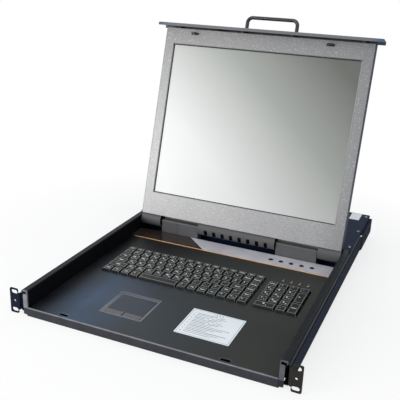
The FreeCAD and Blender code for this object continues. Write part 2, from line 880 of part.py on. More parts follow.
def button_board():
    """Circuit board on standoffs, with a push switch under each button."""
    y, board_top = panel_button_y, button_board_z + board_sheet
    left, right = panel_button_x - button_board_margin, panel_button_places()[-1] + button_board_margin
    half = button_board_depth / 2
    pieces = [block(left, right, y - half, y + half, button_board_z, board_top)]
    for x in (left + button_board_margin / 3, right - button_board_margin / 3):
        pieces.append(hex_post(x, y, tray_sheet, button_board_z))
    switch_top = board_top + switch_height
    plunger_top = strip_base_z - strip_base_sheet - 2.9
    for x in panel_button_places():
        half = switch_width / 2
        pieces.append(block(x - half, x + half, y - half, y + half, board_top, switch_top))
        half = plunger_width / 2
        pieces.append(block(x - half, x + half, y - half, y + half, switch_top, plunger_top))
    return fuse(pieces)


# ---------------------------------------------------------------- hinges
def hinge_cover(seam_x=None):
    """Moulded cover over one hinge: hollow, open below, round along its top front edge."""
    outer = prism([(cover_front_y, tray_sheet), (cover_back_y, tray_sheet), (cover_back_y, cover_top_z, 1.5),
                   (cover_front_y, cover_top_z, cover_corner_radius)], "x", cover_inner_x, cover_outer_x)
    inner = block(cover_inner_x + cover_wall, cover_outer_x - cover_wall, cover_front_y + cover_wall,
                  cover_back_y - cover_wall, tray_sheet - 1, cover_top_z - cover_wall)
    pin_way = rod(hinge_pin_radius + 0.3, V(cover_inner_x - 1, hinge_y, hinge_z),
                  V(cover_inner_x + cover_wall + 1, hinge_y, hinge_z))
    cover = outer.cut([inner, pin_way])
    if seam_x is not None:
        cover = cover.cut(block(seam_x - 0.4, seam_x + 0.4, cover_front_y - 1, cover_front_y + 0.6,
                                tray_sheet, cover_top_z + 1))
    return cover


def hinge_bracket():
    """Steel bracket: a foot on the tray and two upright knuckles that hold the pin."""
    x0, x1 = cover_inner_x + knuckle_width, pin_outer_x
    front, back = hinge_y - hinge_foot_front, hinge_y + hinge_foot_back
    waist = knuckle_radius - 0.5
    outline = [(front, tray_sheet), (back, tray_sheet), (hinge_y + waist, hinge_z),
               (hinge_y - waist, hinge_z)]
    pieces = [block(x0, x1, front, back, tray_sheet, tray_sheet + hinge_foot_sheet)]
    top = cover_top_z - cover_wall - 0.3
    for low in (x0, x1 - knuckle_width):
        eye = rod(knuckle_radius, V(low, hinge_y, hinge_z), V(low + knuckle_width, hinge_y, hinge_z))
        ceiling = block(low - 1, low + knuckle_width + 1, hinge_y - knuckle_radius - 1,
                        hinge_y + knuckle_radius + 1, top, top + knuckle_radius)
        pieces += [prism(outline, "x", low, low + knuckle_width), eye.cut(ceiling)]
    bore = rod(hinge_pin_radius, V(x0 - 1, hinge_y, hinge_z), V(x1 + 1, hinge_y, hinge_z))
    return fuse(pieces).cut(bore)


def hinge_pins():
    pin = rod(hinge_pin_radius, V(pin_inner_x, hinge_y, hinge_z), V(pin_outer_x, hinge_y, hinge_z))
    return group([pin, mirrored(pin)])


def hinge_leaves():
    """Lid side of each hinge: an eye round the pin and a leaf screwed to the lid's back."""
    inner_x, outer_x = pin_inner_x + leaf_sheet, cover_inner_x - barrel_gap - lid_sheet - 0.5
    back = lid_back_z - lid_sheet
    face = back - leaf_sheet
    edge = hinge_y - knuckle_radius * 0.9
    lap, end = edge - leaf_lap, edge - leaf_length
    leaf = prism([(end, back), (end, face), (edge, face), (edge, back)], "x", inner_x, outer_x)
    eye = rod(knuckle_radius, V(inner_x, hinge_y, hinge_z), V(outer_x, hinge_y, hinge_z))
    arm = prism([(lap, back), (lap, face), (edge, hinge_z - knuckle_radius * 0.4), (hinge_y, hinge_z),
                 (hinge_y + knuckle_radius / 2, back - 0.6), (edge, back)], "x", inner_x, outer_x)
    reach = knuckle_radius + 1
    eye_ceiling = block(inner_x - 1, outer_x + 1, hinge_y - reach, hinge_y + reach, back, back + reach)
    bore_radius = hinge_pin_radius + hinge_running_gap
    bore = rod(bore_radius, V(inner_x - 1, hinge_y, hinge_z), V(outer_x + 1, hinge_y, hinge_z))
    leaf = fuse([leaf, eye, arm]).cut([bore, eye_ceiling])
    return group([leaf, mirrored(leaf)])


# ---------------------------------------------------------------- lid, drawn shut
def barrel_ranges():
    """Stretches along X where the lid's lower edge wraps round the hinge line."""
    inner, outer = cover_inner_x - barrel_gap, cover_outer_x + barrel_gap
    return [(-lid_half, -outer), (-inner, inner), (outer, lid_half)]


def barrel_solid(x0, x1, radius, top_z, front_y):
    round_part = rod(radius, V(x0, hinge_y, hinge_z), V(x1, hinge_y, hinge_z))
    keep = block(x0, x1, front_y, hinge_y + radius + 1, hinge_z - radius - 1, top_z)
    return round_part.common(keep)


def lid_back_shell():
    """Back of the lid: a shallow pan whose lower edge is rolled into a barrel between the hinge covers."""
    outer = [prism([(lid_top_y, bezel_back_z), (bezel_foot_y, bezel_back_z), (bezel_foot_y, lid_back_z),
                    (lid_top_y, lid_back_z, 1.5)], "x", -lid_half, lid_half)]
    inside_z = lid_back_z - lid_sheet
    inner = [block(-lid_half + lid_sheet, lid_half - lid_sheet, lid_top_y + lid_sheet,
                   bezel_foot_y - lid_sheet, bezel_back_z - 1, inside_z)]
    for x0, x1 in barrel_ranges():
        outer.append(barrel_solid(x0, x1, barrel_radius, lid_back_z, bezel_foot_y))
        inner.append(barrel_solid(x0 + lid_sheet, x1 - lid_sheet, barrel_radius - lid_sheet, inside_z,
                                  bezel_foot_y - lid_sheet - 0.5))
    cutters = [fuse(inner)]
    for side in (-1, 1):
        wall, reach = side * (cover_inner_x - barrel_gap), 2 * lid_sheet
        cutters.append(rod(hinge_pin_radius + 0.6, V(wall - reach, hinge_y, hinge_z),
                           V(wall + reach, hinge_y, hinge_z)))
    for index in range(vent_count):
        x = (index - (vent_count - 1) / 2) * vent_pitch
        cutters.append(block(x - vent_width / 2, x + vent_width / 2, hinge_y + vent_reach,
                             hinge_y + barrel_radius + 1, hinge_z - barrel_radius - 1, hinge_z - vent_drop))
    tongue_room = latch_knob_radius + 1
    cutters.append(block(latch_knob_x - tongue_room, latch_knob_x + tongue_room + latch_travel, lid_top_y - 1,
                         lid_top_y + lid_sheet + 1, bezel_back_z - 0.1, bezel_back_z + latch_bar_sheet + 0.8))
    return fuse(outer).cut(cutters)


def lid_bezel():
    """Front frame of the lid: rounded outer corners, and a sloping return round the display."""
    x, low, high = opening_width / 2, opening_high_y, opening_low_y
    frame = rounded_plate(-lid_half, lid_half, lid_top_y, bezel_foot_y, lid_face_z, bezel_back_z, 2.0)
    wall = opening_slope
    collar = block(-x - wall, x + wall, low - wall, high + wall, lid_face_z, lid_face_z + opening_return)
    slope = frustum(rectangle(-x, x, low, high, -opening_slope, lid_face_z),
                    rectangle(-x, x, low, high, 0, lid_face_z + opening_slope))
    way = block(-x, x, low, high, lid_face_z + opening_slope - 0.01, lid_face_z + opening_return + 1)
    guides = []
    guide_top = bezel_back_z + latch_bar_sheet + 0.6
    for y in (latch_bar_front() - lid_sheet - 0.3, latch_bar_front() + latch_bar_depth + 0.3):
        for end in (-latch_guide_x, latch_guide_x):
            guides.append(block(end - latch_guide_length / 2, end + latch_guide_length / 2, y, y + lid_sheet,
                                bezel_back_z, guide_top))
    half, reach = hook_slot_half(), hook_slot_width / 2
    slots = [rounded_plate(cx - half, cx + half, catch_slot_y - reach, catch_slot_y + reach,
                           lid_face_z - 1, bezel_back_z + 1, 1.0) for cx in (left_catch_x, right_catch_x)]
    return fuse([frame, collar] + guides).cut([slope, way] + slots)


def hook_slot_half():
    return catch_slot_length / 2 + 0.3


def latch_bar_front():
    return catch_slot_y - latch_bar_depth / 2


def latch_bar():
    """Sliding bar with two catch hooks, and a tongue bent up to the knob outside the front plate."""
    bar_z = bezel_back_z + 0.3
    bar_top = bar_z + latch_bar_sheet
    front = latch_bar_front()
    bar = rounded_plate(left_catch_x - latch_bar_overhang, right_catch_x + latch_bar_overhang, front,
                        front + latch_bar_depth, bar_z, bar_top, 2.0)
    foot_z = lid_face_z - hook_reach
    toe_z = foot_z + hook_toe
    pieces = [bar]
    for cx in (left_catch_x, right_catch_x):
        heel, toe = cx - 4, cx - 4 + hook_width
        outline = [(heel, bar_z + 1), (heel, foot_z, 0.8), (toe, foot_z, 1.6), (toe + 1, toe_z), (cx, toe_z),
                   (cx, bar_z + 1)]
        pieces.append(prism(outline, "y", catch_slot_y - hook_sheet / 2, catch_slot_y + hook_sheet / 2))
    half = latch_knob_radius
    plate_inside = front_plate_y + front_plate_sheet
    tongue_y = plate_inside + 0.6
    tongue = folded([(tongue_y, handle_z + 3), (tongue_y, bar_z), (front + 1, bar_z)],
                    latch_bar_sheet, 0.3, "x", latch_knob_x - half, latch_knob_x + half)
    pieces.append(tongue)
    shank = rod(latch_shank_radius, V(latch_knob_x, tongue_y + 0.1, handle_z),
                V(latch_knob_x, front_plate_y - 0.4, handle_z))
    knob = Part.makeCone(latch_knob_radius, latch_knob_radius * 0.85, latch_knob_length,
                         V(latch_knob_x, front_plate_y - 0.3, handle_z), V(0, -1, 0))
    return fuse(pieces + [shank, knob])


def display_panel():
    """Display module: a metal-framed slab behind the glass."""
    x = opening_width / 2 + display_side
    low, high = opening_high_y - display_foot, opening_low_y + display_foot
    slab = prism([(low, display_face_z), (high, display_face_z), (high, display_face_z + display_depth),
                  (low, display_face_z + display_depth)], "x", -x, x)
    step = display_face_z + display_depth - display_relief_depth
    reach = display_relief_width
    relief = [block(-x - 1, x + 1, y0, y1, step, display_face_z + display_depth + 1)
              for y0, y1 in ((low - 1, low + reach), (high - reach, high + 1))]
    return slab.cut(relief)


def display_glass():
    x = opening_width / 2 + glass_lap
    return block(-x, x, opening_high_y - glass_lap, opening_low_y + glass_lap, glass_face_z, display_face_z)


def display_brackets():
    """Side rails that carry the display module in the back shell."""
    inner_x = opening_width / 2 + display_side
    outer_x = lid_half - lid_sheet
    back = lid_back_z - lid_sheet
    path = [(outer_x, back), (inner_x, back), (inner_x, display_face_z + 2)]
    rail = folded(path, 1.0, 0.3, "y", opening_high_y + display_bracket_inset,
                  opening_low_y - display_bracket_inset)
    return group([rail, mirrored(rail)])


def front_plate():
    """Front of the shut drawer: a folded plate with a lower return, carried on spacers off the lid."""
    top_z = lid_back_z
    y0, y1 = front_plate_y, front_plate_y + front_plate_return
    path = [(lid_top_y, top_z), (y0, top_z), (y0, front_plate_bottom_z), (y1, front_plate_bottom_z)]
    half = front_plate_width / 2
    plate = folded(path, front_plate_sheet, 0.5, "x", -half, half)
    inside = y0 + front_plate_sheet
    spacer_z, outer_x = hinge_z - spacer_drop, lid_half - spacer_outer_inset
    spacers = [prism(hexagon(x, spacer_z, spacer_radius), "y", inside, lid_top_y)
               for x in (-outer_x, -spacer_inner_x, spacer_inner_x, outer_x)]
    beside = [block(x0, x1, -0.6, lid_top_y + 1, top_z - 3, top_z + 1)
              for x0, x1 in ((-half - 1, -lid_half), (lid_half, half + 1))]
    shape = fuse([plate.cut(beside)] + spacers)
    reach = latch_shank_radius + 0.4
    low, high = handle_z - reach, handle_z + reach
    left, right = latch_knob_x - reach, latch_knob_x + reach + latch_travel
    knob_slot = prism([(left, low, 2.5), (right, low, 2.5), (right, high, 2.5), (left, high, 2.5)],
                      "y", y0 - 1, inside + 1)
    return shape.cut(knob_slot)


def bow_handle():
    """Round-bar bow, standing off the front plate."""
    reach = handle_width / 2 - handle_radius
    left, right = handle_centre_x - reach, handle_centre_x + reach
    base, outer = front_plate_y, front_plate_y - handle_depth + handle_radius
    corners = [V(left, base, 0), V(left, outer, 0), V(right, outer, 0), V(right, base, 0)]
    flat = []
    first = rounded_corner(corners[0], corners[1], corners[2], handle_corner_radius)
    second = rounded_corner(corners[1], corners[2], corners[3], handle_corner_radius)
    lift = V(0, 0, handle_z)
    flat.append(Part.LineSegment(corners[0] + lift, first[0] + lift).toShape())
    flat.append(Part.Arc(first[0] + lift, first[1] + lift, first[2] + lift).toShape())
    flat.append(Part.LineSegment(first[2] + lift, second[0] + lift).toShape())
    flat.append(Part.Arc(second[0] + lift, second[1] + lift, second[2] + lift).toShape())
    flat.append(Part.LineSegment(second[2] + lift, corners[3] + lift).toShape())
    spine = Part.Wire(flat)
    section = Part.Wire(Part.makeCircle(handle_radius, corners[0] + lift, V(0, 1, 0)))
    bow = spine.makePipeShell([section], True, False)
    return bow


# ---------------------------------------------------------------- rear box
def rear_cover():
    """Cover of the rear box: hemmed at both sides and folded down at the front as a bulkhead."""
    half = inner_half + rear_cover_overhang
    top, hem = tray_height, tray_height - rear_cover_hem
    path = [(half, hem), (half, top), (-half, top), (-half, hem)]
    sheet = folded(path, tray_sheet, 0.4, "y", side_wall_length, tray_length)
    notch = block(-inner_half, inner_half, side_wall_length - 1, bulkhead_y, hem - 1, top + 1)
    inside = deck_half
    bulkhead = block(-inside, inside, bulkhead_y, bulkhead_y + tray_sheet, tray_sheet, top - tray_sheet / 2)
    return fuse([sheet.cut(notch), bulkhead])


def rear_panel():
    """Connector panel, pierced for sockets and cooling slots."""
    inside = deck_half
    panel = block(-inside, inside, tray_length - panel_sheet, tray_length, tray_sheet,
                  tray_height - tray_sheet)
    y0, y1 = tray_length - panel_sheet - 1, tray_length + 1
    cutters = [prism([(x0, z0, r), (x1, z0, r), (x1, z1, r), (x0, z1, r)], "y", y0, y1)
               for x0, x1, z0, z1, r in socket_cutouts()]
    for index in range(rear_vent_count):
        x = rear_vent_x + index * rear_vent_pitch
        cutters.append(block(x, x + rear_vent_width, y0, y1, rear_vent_low, rear_vent_high))
    return panel.cut(cutters)


def cutout(x, z, width, height, radius):
    return x - width / 2, x + width / 2, z - height / 2, z + height / 2, radius


def round_port_places():
    return [round_port_x, round_port_x + round_port_pitch]


def socket_cutouts():
    """Panel openings as (x0, x1, z0, z1, corner radius): mains inlet, video port, two round ports."""
    size = 2 * round_port_radius + 0.2
    openings = [cutout(inlet_x, inlet_z, inlet_width, inlet_height, 0.4),
                cutout(video_x, port_z, video_width, video_height, 0.4)]
    return openings + [cutout(x, port_z, size, size, round_port_radius) for x in round_port_places()]


def power_inlet():
    """Mains inlet: flanged moulding with a hollow socket and three blades."""
    x0, x1, z0, z1, _ = socket_cutouts()[0]
    flange = rounded_face_block(x0 - 2, x1 + 2, z0 - 2, z1 + 2, tray_length, tray_length + 2.0, 2.5)
    body = block(x0 + 0.2, x1 - 0.2, tray_length - inlet_depth, tray_length, z0 + 0.2, z1 - 0.2)
    a0, a1, b0, b1 = x0 + inlet_wall, x1 - inlet_wall, z0 + inlet_wall, z1 - inlet_wall
    shoulder = b1 - inlet_bevel
    cavity = prism([(a0, b0), (a1, b0), (a1, shoulder), (a1 - inlet_bevel, b1), (a0 + inlet_bevel, b1),
                    (a0, shoulder)], "y", tray_length - inlet_depth + 7, tray_length + 3)
    blades = [block(inlet_x + dx - 1, inlet_x + dx + 1, tray_length - inlet_depth + 6, tray_length - 7,
                    inlet_z + dz - 2, inlet_z + dz + 2) for dx, dz in ((-7, -1), (0, 3), (7, -1))]
    return fuse([fuse([flange, body]).cut(cavity)] + blades)


def rounded_face_block(x0, x1, z0, z1, y0, y1, radius):
    return prism([(x0, z0, radius), (x1, z0, radius), (x1, z1, radius), (x0, z1, radius)], "y", y0, y1)


def rear_connectors():
    """Video port and two round keyboard ports, all seated on the controller board."""
    inside = tray_length - panel_sheet
    back, seat_z = tray_length - port_body_depth, controller_z + board_sheet
    x0, x1, z0, z1, _ = socket_cutouts()[1]
    body = block(x0 + 0.3, x1 - 0.3, back, inside, seat_z, z1 + 0.5)
    shell = rounded_face_block(x0 + 0.6, x1 - 0.6, z0 + 0.6, z1 - 0.6, inside - 0.5, tray_length + 5.5, 2.5)
    pieces = [body.fuse(shell)]
    for x in round_port_places():
        half = round_port_radius + 0.4
        body = block(x - half, x + half, back, inside, seat_z, port_z + half)
        ring = rod(round_port_radius - 0.2, V(x, inside - 0.5, port_z), V(x, tray_length + 1.2, port_z))
        recess = rod(round_port_radius - 2.0, V(x, tray_length - 5, port_z), V(x, tray_length + 3, port_z))
        pieces.append(fuse([body, ring]).cut(recess))
    return group(pieces)


def controller_board():
    """Controller board on standoffs, with its larger components."""
    back = tray_length - panel_sheet - 2
    front = back - controller_depth
    middle_y = (front + back) / 2
    width = controller_right - controller_left
    top = controller_z + board_sheet
    pieces = [block(controller_left, controller_right, front, back, controller_z, top)]
    for x in (controller_left + 5, controller_right - 5):
        for y in (front + 7, back - 15):
            pieces.append(hex_post(x, y, tray_sheet, controller_z))
    for share, half in ((0.27, chip_width / 2), (0.59, chip_width / 3), (0.8, chip_width / 4)):
        x = controller_left + share * width
        pieces.append(block(x - half, x + half, middle_y - half, middle_y + half, top, top + chip_height))
    capacitor = V(controller_left + width / 10, front + controller_depth / 6, top)
    pieces.append(rod(capacitor_radius, capacitor, capacitor + V(0, 0, capacitor_height)))
    return fuse(pieces)


def power_supply():
    """Closed power supply case on feet, with a slotted lid."""
    front, back = bulkhead_y + supply_front_gap, tray_length - supply_back_gap
    foot, top = supply_lift, supply_lift + supply_height
    case = prism([(front, foot), (back, foot), (back, top, 2), (front, top, 2)],
                 "x", supply_left, supply_right)
    feet = [hex_post(x, y, tray_sheet, foot)
            for x in (supply_left + supply_foot_inset, supply_right - supply_foot_inset)
            for y in (front + supply_foot_inset, back - supply_foot_inset)]
    margin = supply_slot_margin
    slot_count = int((back - front - 2 * margin) / supply_slot_pitch) + 1
    slots = []
    for index in range(slot_count):
        y = front + margin + index * supply_slot_pitch
        slots.append(block(supply_left + margin, supply_right - margin, y, y + supply_slot_width,
                           top - 1, top + 1))
    return fuse([case] + feet).cut(slots)


# ---------------------------------------------------------------- assembly
def build():
    nodes = {}
    for name, make in (("rack_bracket", rack_bracket), ("outer_rail", outer_rail),
                       ("middle_rail", middle_rail), ("inner_rail", inner_rail)):
        right = make()
        nodes["right_" + name] = right
        nodes["left_" + name] = mirrored(right)
    for name, make in (("outer_ball_cages", outer_ball_cage), ("inner_ball_cages", inner_ball_cage),
                       ("hinge_brackets", hinge_bracket)):
        right = make()
        nodes[name] = group([right, mirrored(right)])
    nodes["right_hinge_cover"] = hinge_cover()
    nodes["left_hinge_cover"] = mirrored(hinge_cover(-cover_seam_x))
    nodes["drawer_tray"] = drawer_tray()
    nodes["deck_plate"] = deck_plate()
    nodes["keyboard_frame"] = keyboard_frame()
    nodes["keyboard_membrane"] = keyboard_membrane()
    nodes["keyboard_base_plate"] = keyboard_base_plate()
    nodes.update(key_rows())
    nodes["touchpad_surround"] = touchpad_surround()
    nodes["touch_pad"] = touch_pad()
    for name, place in zip(("left_touch_button", "right_touch_button"), touch_button_places()):
        nodes[name] = touch_button(place)
    nodes["guide_card"] = guide_card()
    nodes["status_lights"] = status_lights()
    nodes["control_panel"] = control_panel()
    nodes["panel_dark_film"] = panel_dark_film()
    nodes["panel_silver_film"] = panel_silver_film()
    nodes["trim_line"] = trim_line()
    nodes["button_board"] = button_board()
    for index, x in enumerate(panel_button_places()):
        nodes["panel_button_%d" % (index + 1)] = panel_button(x)
    nodes["hinge_pins"] = hinge_pins()
    nodes["rear_cover"] = rear_cover()
    nodes["rear_panel"] = rear_panel()
    nodes["power_inlet"] = power_inlet()
    nodes["rear_connectors"] = rear_connectors()
    nodes["controller_board"] = controller_board()
    nodes["power_supply"] = power_supply()
    for name, make in (("lid_bezel", lid_bezel), ("lid_back_shell", lid_back_shell),
                       ("hinge_leaves", hinge_leaves), ("latch_bar", latch_bar),
                       ("display_panel", display_panel), ("display_glass", display_glass),
                       ("display_brackets", display_brackets), ("front_plate", front_plate),
                       ("bow_handle", bow_handle)):
        nodes[name] = swung_open(make())
    return nodes


if __name__ == "__main__":
    os.makedirs("parts", exist_ok=True)
    for node, shape in build().items():
        placed = shape.copy()
        placed.translate(V(0, 0, -ear_centre_z))
        placed.exportStep("parts/%s.step" % node)
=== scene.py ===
"""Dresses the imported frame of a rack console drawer: finishes, key caps, print, fastenings and the stage."""

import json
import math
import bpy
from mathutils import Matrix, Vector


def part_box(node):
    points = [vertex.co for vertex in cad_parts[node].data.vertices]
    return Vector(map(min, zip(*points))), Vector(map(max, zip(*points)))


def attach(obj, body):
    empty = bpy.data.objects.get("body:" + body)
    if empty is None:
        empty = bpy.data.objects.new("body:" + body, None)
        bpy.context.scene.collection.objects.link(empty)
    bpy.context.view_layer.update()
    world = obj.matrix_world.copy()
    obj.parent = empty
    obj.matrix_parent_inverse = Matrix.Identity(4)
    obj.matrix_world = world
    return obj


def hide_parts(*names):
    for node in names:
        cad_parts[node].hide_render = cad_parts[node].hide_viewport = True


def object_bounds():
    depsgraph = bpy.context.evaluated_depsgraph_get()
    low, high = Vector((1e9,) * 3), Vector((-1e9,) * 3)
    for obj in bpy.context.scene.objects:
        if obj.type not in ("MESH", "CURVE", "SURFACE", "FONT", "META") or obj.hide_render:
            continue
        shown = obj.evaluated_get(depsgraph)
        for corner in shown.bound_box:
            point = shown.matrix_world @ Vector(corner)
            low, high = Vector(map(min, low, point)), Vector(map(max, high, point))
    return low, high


bl_info = {
    "name": "Console Drawer Dressing",
    "version": (1, 0, 0),
    "blender": (4, 5, 0),
    "location": "3D View > Sidebar > Console Drawer",
    "description": "Finishes and fine pieces for a rack drawer with a keyboard and a fold-up display",
    "category": "Object",
}

import bpy
from bpy.props import FloatProperty, FloatVectorProperty, IntProperty, PointerProperty
from mathutils import Matrix, Vector

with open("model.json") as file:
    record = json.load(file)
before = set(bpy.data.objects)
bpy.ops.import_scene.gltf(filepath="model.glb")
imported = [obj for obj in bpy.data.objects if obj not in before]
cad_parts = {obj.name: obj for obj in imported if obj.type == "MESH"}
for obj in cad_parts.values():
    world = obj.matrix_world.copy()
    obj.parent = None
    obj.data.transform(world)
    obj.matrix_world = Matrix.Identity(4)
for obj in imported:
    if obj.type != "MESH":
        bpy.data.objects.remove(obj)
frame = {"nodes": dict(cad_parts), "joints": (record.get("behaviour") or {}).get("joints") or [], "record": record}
# The CAD model's box, measured before anything is added.
cad_box = [list(corner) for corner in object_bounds()]

MM = 0.001
lid_joint = next(joint for joint in frame["joints"] if joint["name"] == "lid_hinge")
HINGE = Vector(lid_joint["pos_m"])
# The turn that takes the lid from shut to where it stands.
OPEN_TURN = (
    Matrix.Translation(HINGE)
    @ Matrix.Rotation(math.radians(lid_joint["range_deg"][0]), 4, "X")
    @ Matrix.Translation(-HINGE)
)


def corners(points):
    """The lowest and highest corners of a set of points."""
    low = Vector([min(point[axis] for point in points) for axis in range(3)])
    high = Vector([max(point[axis] for point in points) for axis in range(3)])
    return low, high


def shut_box(node):
    """A lid node's lowest and highest corners as they are with the lid shut."""
    shut = OPEN_TURN.inverted()
    return corners([shut @ vertex.co for vertex in frame["nodes"][node].data.vertices])


# ---------------------------------------------------------------- settings
def size(name, description, default):
    return FloatProperty(name=name, description=description, default=default, min=0.0, unit="LENGTH")


def colour(name, description, default):
    return FloatVectorProperty(name=name, description=description, default=default,
                               size=3, min=0.0, max=1.0, subtype="COLOR")


class DrawerFinishSettings(bpy.types.PropertyGroup):
    lid_paint: colour("Lid paint", "Hammered paint of the lid and its frame", (0.345, 0.345, 0.35))
    tray_paint: colour("Tray paint", "Powder coat of the tray", (0.012, 0.014, 0.019))
    box_paint: colour("Rear box paint", "Powder coat of the rear box", (0.006, 0.014, 0.040))
    # Edge paint: partly wear, partly a painted highlight along the folds and rounded edges.
    edge_wear_and_highlight: colour("Edge paint", "Powder coat along the folds, rubbed lighter", (0.27, 0.275, 0.30))
    rail_black: colour("Rail black", "Black zinc of the slide rails", (0.012, 0.013, 0.018))
    shell_paint: colour("Lid back paint", "Powder coat of the lid's back and sides", (0.016, 0.020, 0.040))
    deck_paint: colour("Deck paint", "Matt coat of the deck", (0.026, 0.027, 0.027))
    plate_paint: colour("Front plate paint", "Satin coat of the plate on the lid's end", (0.15, 0.155, 0.165))
    key_plastic: colour("Key plastic", "Moulded plastic of the key caps", (0.013, 0.014, 0.014))
    legend_ink: colour("Legend ink", "Ink of the key legends", (0.90, 0.91, 0.91))
    strip_silver: colour("Strip silver", "Pale half of the control strip", (0.60, 0.59, 0.64))
    strip_trim: colour("Strip trim", "Accent line along the control strip", (0.82, 0.44, 0.17))


class DrawerSizeSettings(bpy.types.PropertyGroup):
    key_edge: size("Key edge", "Radius along the edges of a key cap", 0.45 * MM)
    key_dish: size("Key dish", "Depth of the hollow in a key cap's top", 0.35 * MM)
    legend_height: size("Legend height", "Letter height on a one-unit key", 6.4 * MM)
    screw_radius: size("Screw head radius", "Radius of the pan-head screws", 2.9 * MM)
    fold_radius: size("Fold radius", "Softening along the edges of the folded sheet", 0.45 * MM)
    screw_sides: IntProperty(name="Screw sides", description="Sides of a round screw head", default=20,
                             min=8, max=64)


def finishes():
    """The colours that a user may change."""
    return bpy.context.scene.drawer_finishes


def sizes():
    """The sizes that a user may change."""
    return bpy.context.scene.drawer_sizes


# ---------------------------------------------------------------- material parts
FINISH = {}


def new_material(name, base, roughness, metallic=0.0, shine=0.5):
    """A material of this scene, kept in FINISH under its name."""
    material = bpy.data.materials.new(name)
    FINISH[name] = material
    material.use_nodes = True
    shader = material.node_tree.nodes["Principled BSDF"]
    shader.inputs["Base Color"].default_value = (*base, 1.0)
    shader.inputs["Roughness"].default_value = roughness
    shader.inputs["Metallic"].default_value = metallic
    shader.inputs["Specular IOR Level"].default_value = shine
    return material


def node_tools(material):
    tree = material.node_tree
    return tree.nodes, tree.links, tree.nodes["Principled BSDF"]


def object_points(material, scale=(1, 1, 1)):
    """The object's own coordinates, stretched along each axis."""
    nodes, links, _ = node_tools(material)
    points = nodes.new("ShaderNodeTexCoord")
    mapping = nodes.new("ShaderNodeMapping")
    mapping.inputs["Scale"].default_value = scale
    links.new(points.outputs["Object"], mapping.inputs["Vector"])
    return mapping.outputs["Vector"]


def noise(material, points, scale, detail=2.0, roughness=0.5):
    nodes, links, _ = node_tools(material)
    texture = nodes.new("ShaderNodeTexNoise")
    texture.inputs["Scale"].default_value = scale
    texture.inputs["Detail"].default_value = detail
    texture.inputs["Roughness"].default_value = roughness
    links.new(points, texture.inputs["Vector"])
    return texture.outputs["Fac"]


def ramp(material, value, stops):
    """Colour ramp from (place, colour) stops."""
    nodes, links, _ = node_tools(material)
    node = nodes.new("ShaderNodeValToRGB")
    elements = node.color_ramp.elements
    while len(elements) < len(stops):
        elements.new(0.5)
    for element, (place, tint) in zip(elements, stops):
        element.position = place
        element.color = (*tint, 1.0)
    links.new(value, node.inputs["Fac"])
    return node.outputs["Color"]


def level(material, value, low_in, high_in, low_out, high_out):
    """A value taken from one range to another, and held at its ends."""
    nodes, links, _ = node_tools(material)
    node = nodes.new("ShaderNodeMapRange")
    node.inputs["From Min"].default_value = low_in
    node.inputs["From Max"].default_value = high_in
    node.inputs["To Min"].default_value = low_out
    node.inputs["To Max"].default_value = high_out
    links.new(value, node.inputs["Value"])
    return node.outputs["Result"]


def mixed(material, factor, first, second):
    """Two colours, each a socket or a plain colour, mixed by a factor."""
    nodes, links, _ = node_tools(material)
    node = nodes.new("ShaderNodeMix")
    node.data_type = "RGBA"
    factor_socket, first_colour, second_colour = (node.inputs[index] for index in (0, 6, 7))
    for socket, source in ((factor_socket, factor), (first_colour, first), (second_colour, second)):
        if isinstance(source, bpy.types.NodeSocket):
            links.new(source, socket)
        elif isinstance(source, tuple):
            socket.default_value = (*source, 1.0)
        else:
            socket.default_value = source
    return node.outputs[2]


def maths(tree, operation, first, second):
    node = tree.nodes.new("ShaderNodeMath")
    node.operation = operation
    tree.links.new(first, node.inputs[0])
    tree.links.new(second, node.inputs[1])
    return node.outputs[0]


def product(material, first, *others):
    for other in others:
        first = maths(material.node_tree, "MULTIPLY", first, other)
    return first


def shaders_mixed(tree, factor, first, second):
    node = tree.nodes.new("ShaderNodeMixShader")
    for socket, source in zip(node.inputs, (factor, first, second)):
        tree.links.new(source, socket)
    return node.outputs["Shader"]


def axes(material):
    """The X, Y and Z outputs of the object's own coordinates."""
    separate = material.node_tree.nodes.new("ShaderNodeSeparateXYZ")
    material.node_tree.links.new(object_points(material), separate.inputs["Vector"])
    return separate.outputs


def reach_from(material, centre, scale=(1, 1, 1)):
    """Distance from a place; a scale of 0 leaves that axis out."""
    nodes, links, _ = node_tools(material)
    offset = nodes.new("ShaderNodeVectorMath")
    offset.operation = "SUBTRACT"
    offset.inputs[1].default_value = centre
    links.new(object_points(material, scale), offset.inputs[0])
    length = nodes.new("ShaderNodeVectorMath")
    length.operation = "LENGTH"
    links.new(offset.outputs["Vector"], length.inputs[0])
    return length.outputs["Value"]


def repainted(material, factor, tint):
    """Lay a second colour over a material's paint where the factor says."""
    _, links, shader = node_tools(material)
    under = shader.inputs["Base Color"].links[0].from_socket
    links.new(mixed(material, factor, under, tuple(tint)), shader.inputs["Base Color"])


def paint_with(material, tint, roughness=None):
    _, links, shader = node_tools(material)
    links.new(tint, shader.inputs["Base Color"])
    if roughness is not None:
        links.new(roughness, shader.inputs["Roughness"])


def bumped(material, heights, depth):
    """Bump from one or more (height, strength) pairs, at a depth in metres."""
    nodes, links, shader = node_tools(material)
    normal = None
    for height, strength in heights:
        bump = nodes.new("ShaderNodeBump")
        bump.inputs["Strength"].default_value = strength
        bump.inputs["Distance"].default_value = depth
        links.new(height, bump.inputs["Height"])
        if normal is not None:
            links.new(normal, bump.inputs["Normal"])
        normal = bump.outputs["Normal"]
    links.new(normal, shader.inputs["Normal"])


def darker(tint, factor):
    return tuple(channel * factor for channel in tint)


def cloudy(material, base, share, scale, detail=3.0):
    """The coat's own shade, drifting towards a darker one in slow clouds."""
    cloud = noise(material, object_points(material), scale, detail)
    return mixed(material, level(material, cloud, 0.35, 0.65, 0.0, 1.0), darker(base, share), tuple(base))


def grained(material, tint, grain, smooth, rough, strength, depth):
    """Paint a material, and let one fine grain drive its gloss and its relief."""
    paint_with(material, tint, level(material, grain, 0.3, 0.7, smooth, rough))
    bumped(material, [(grain, strength)], depth)
    return material


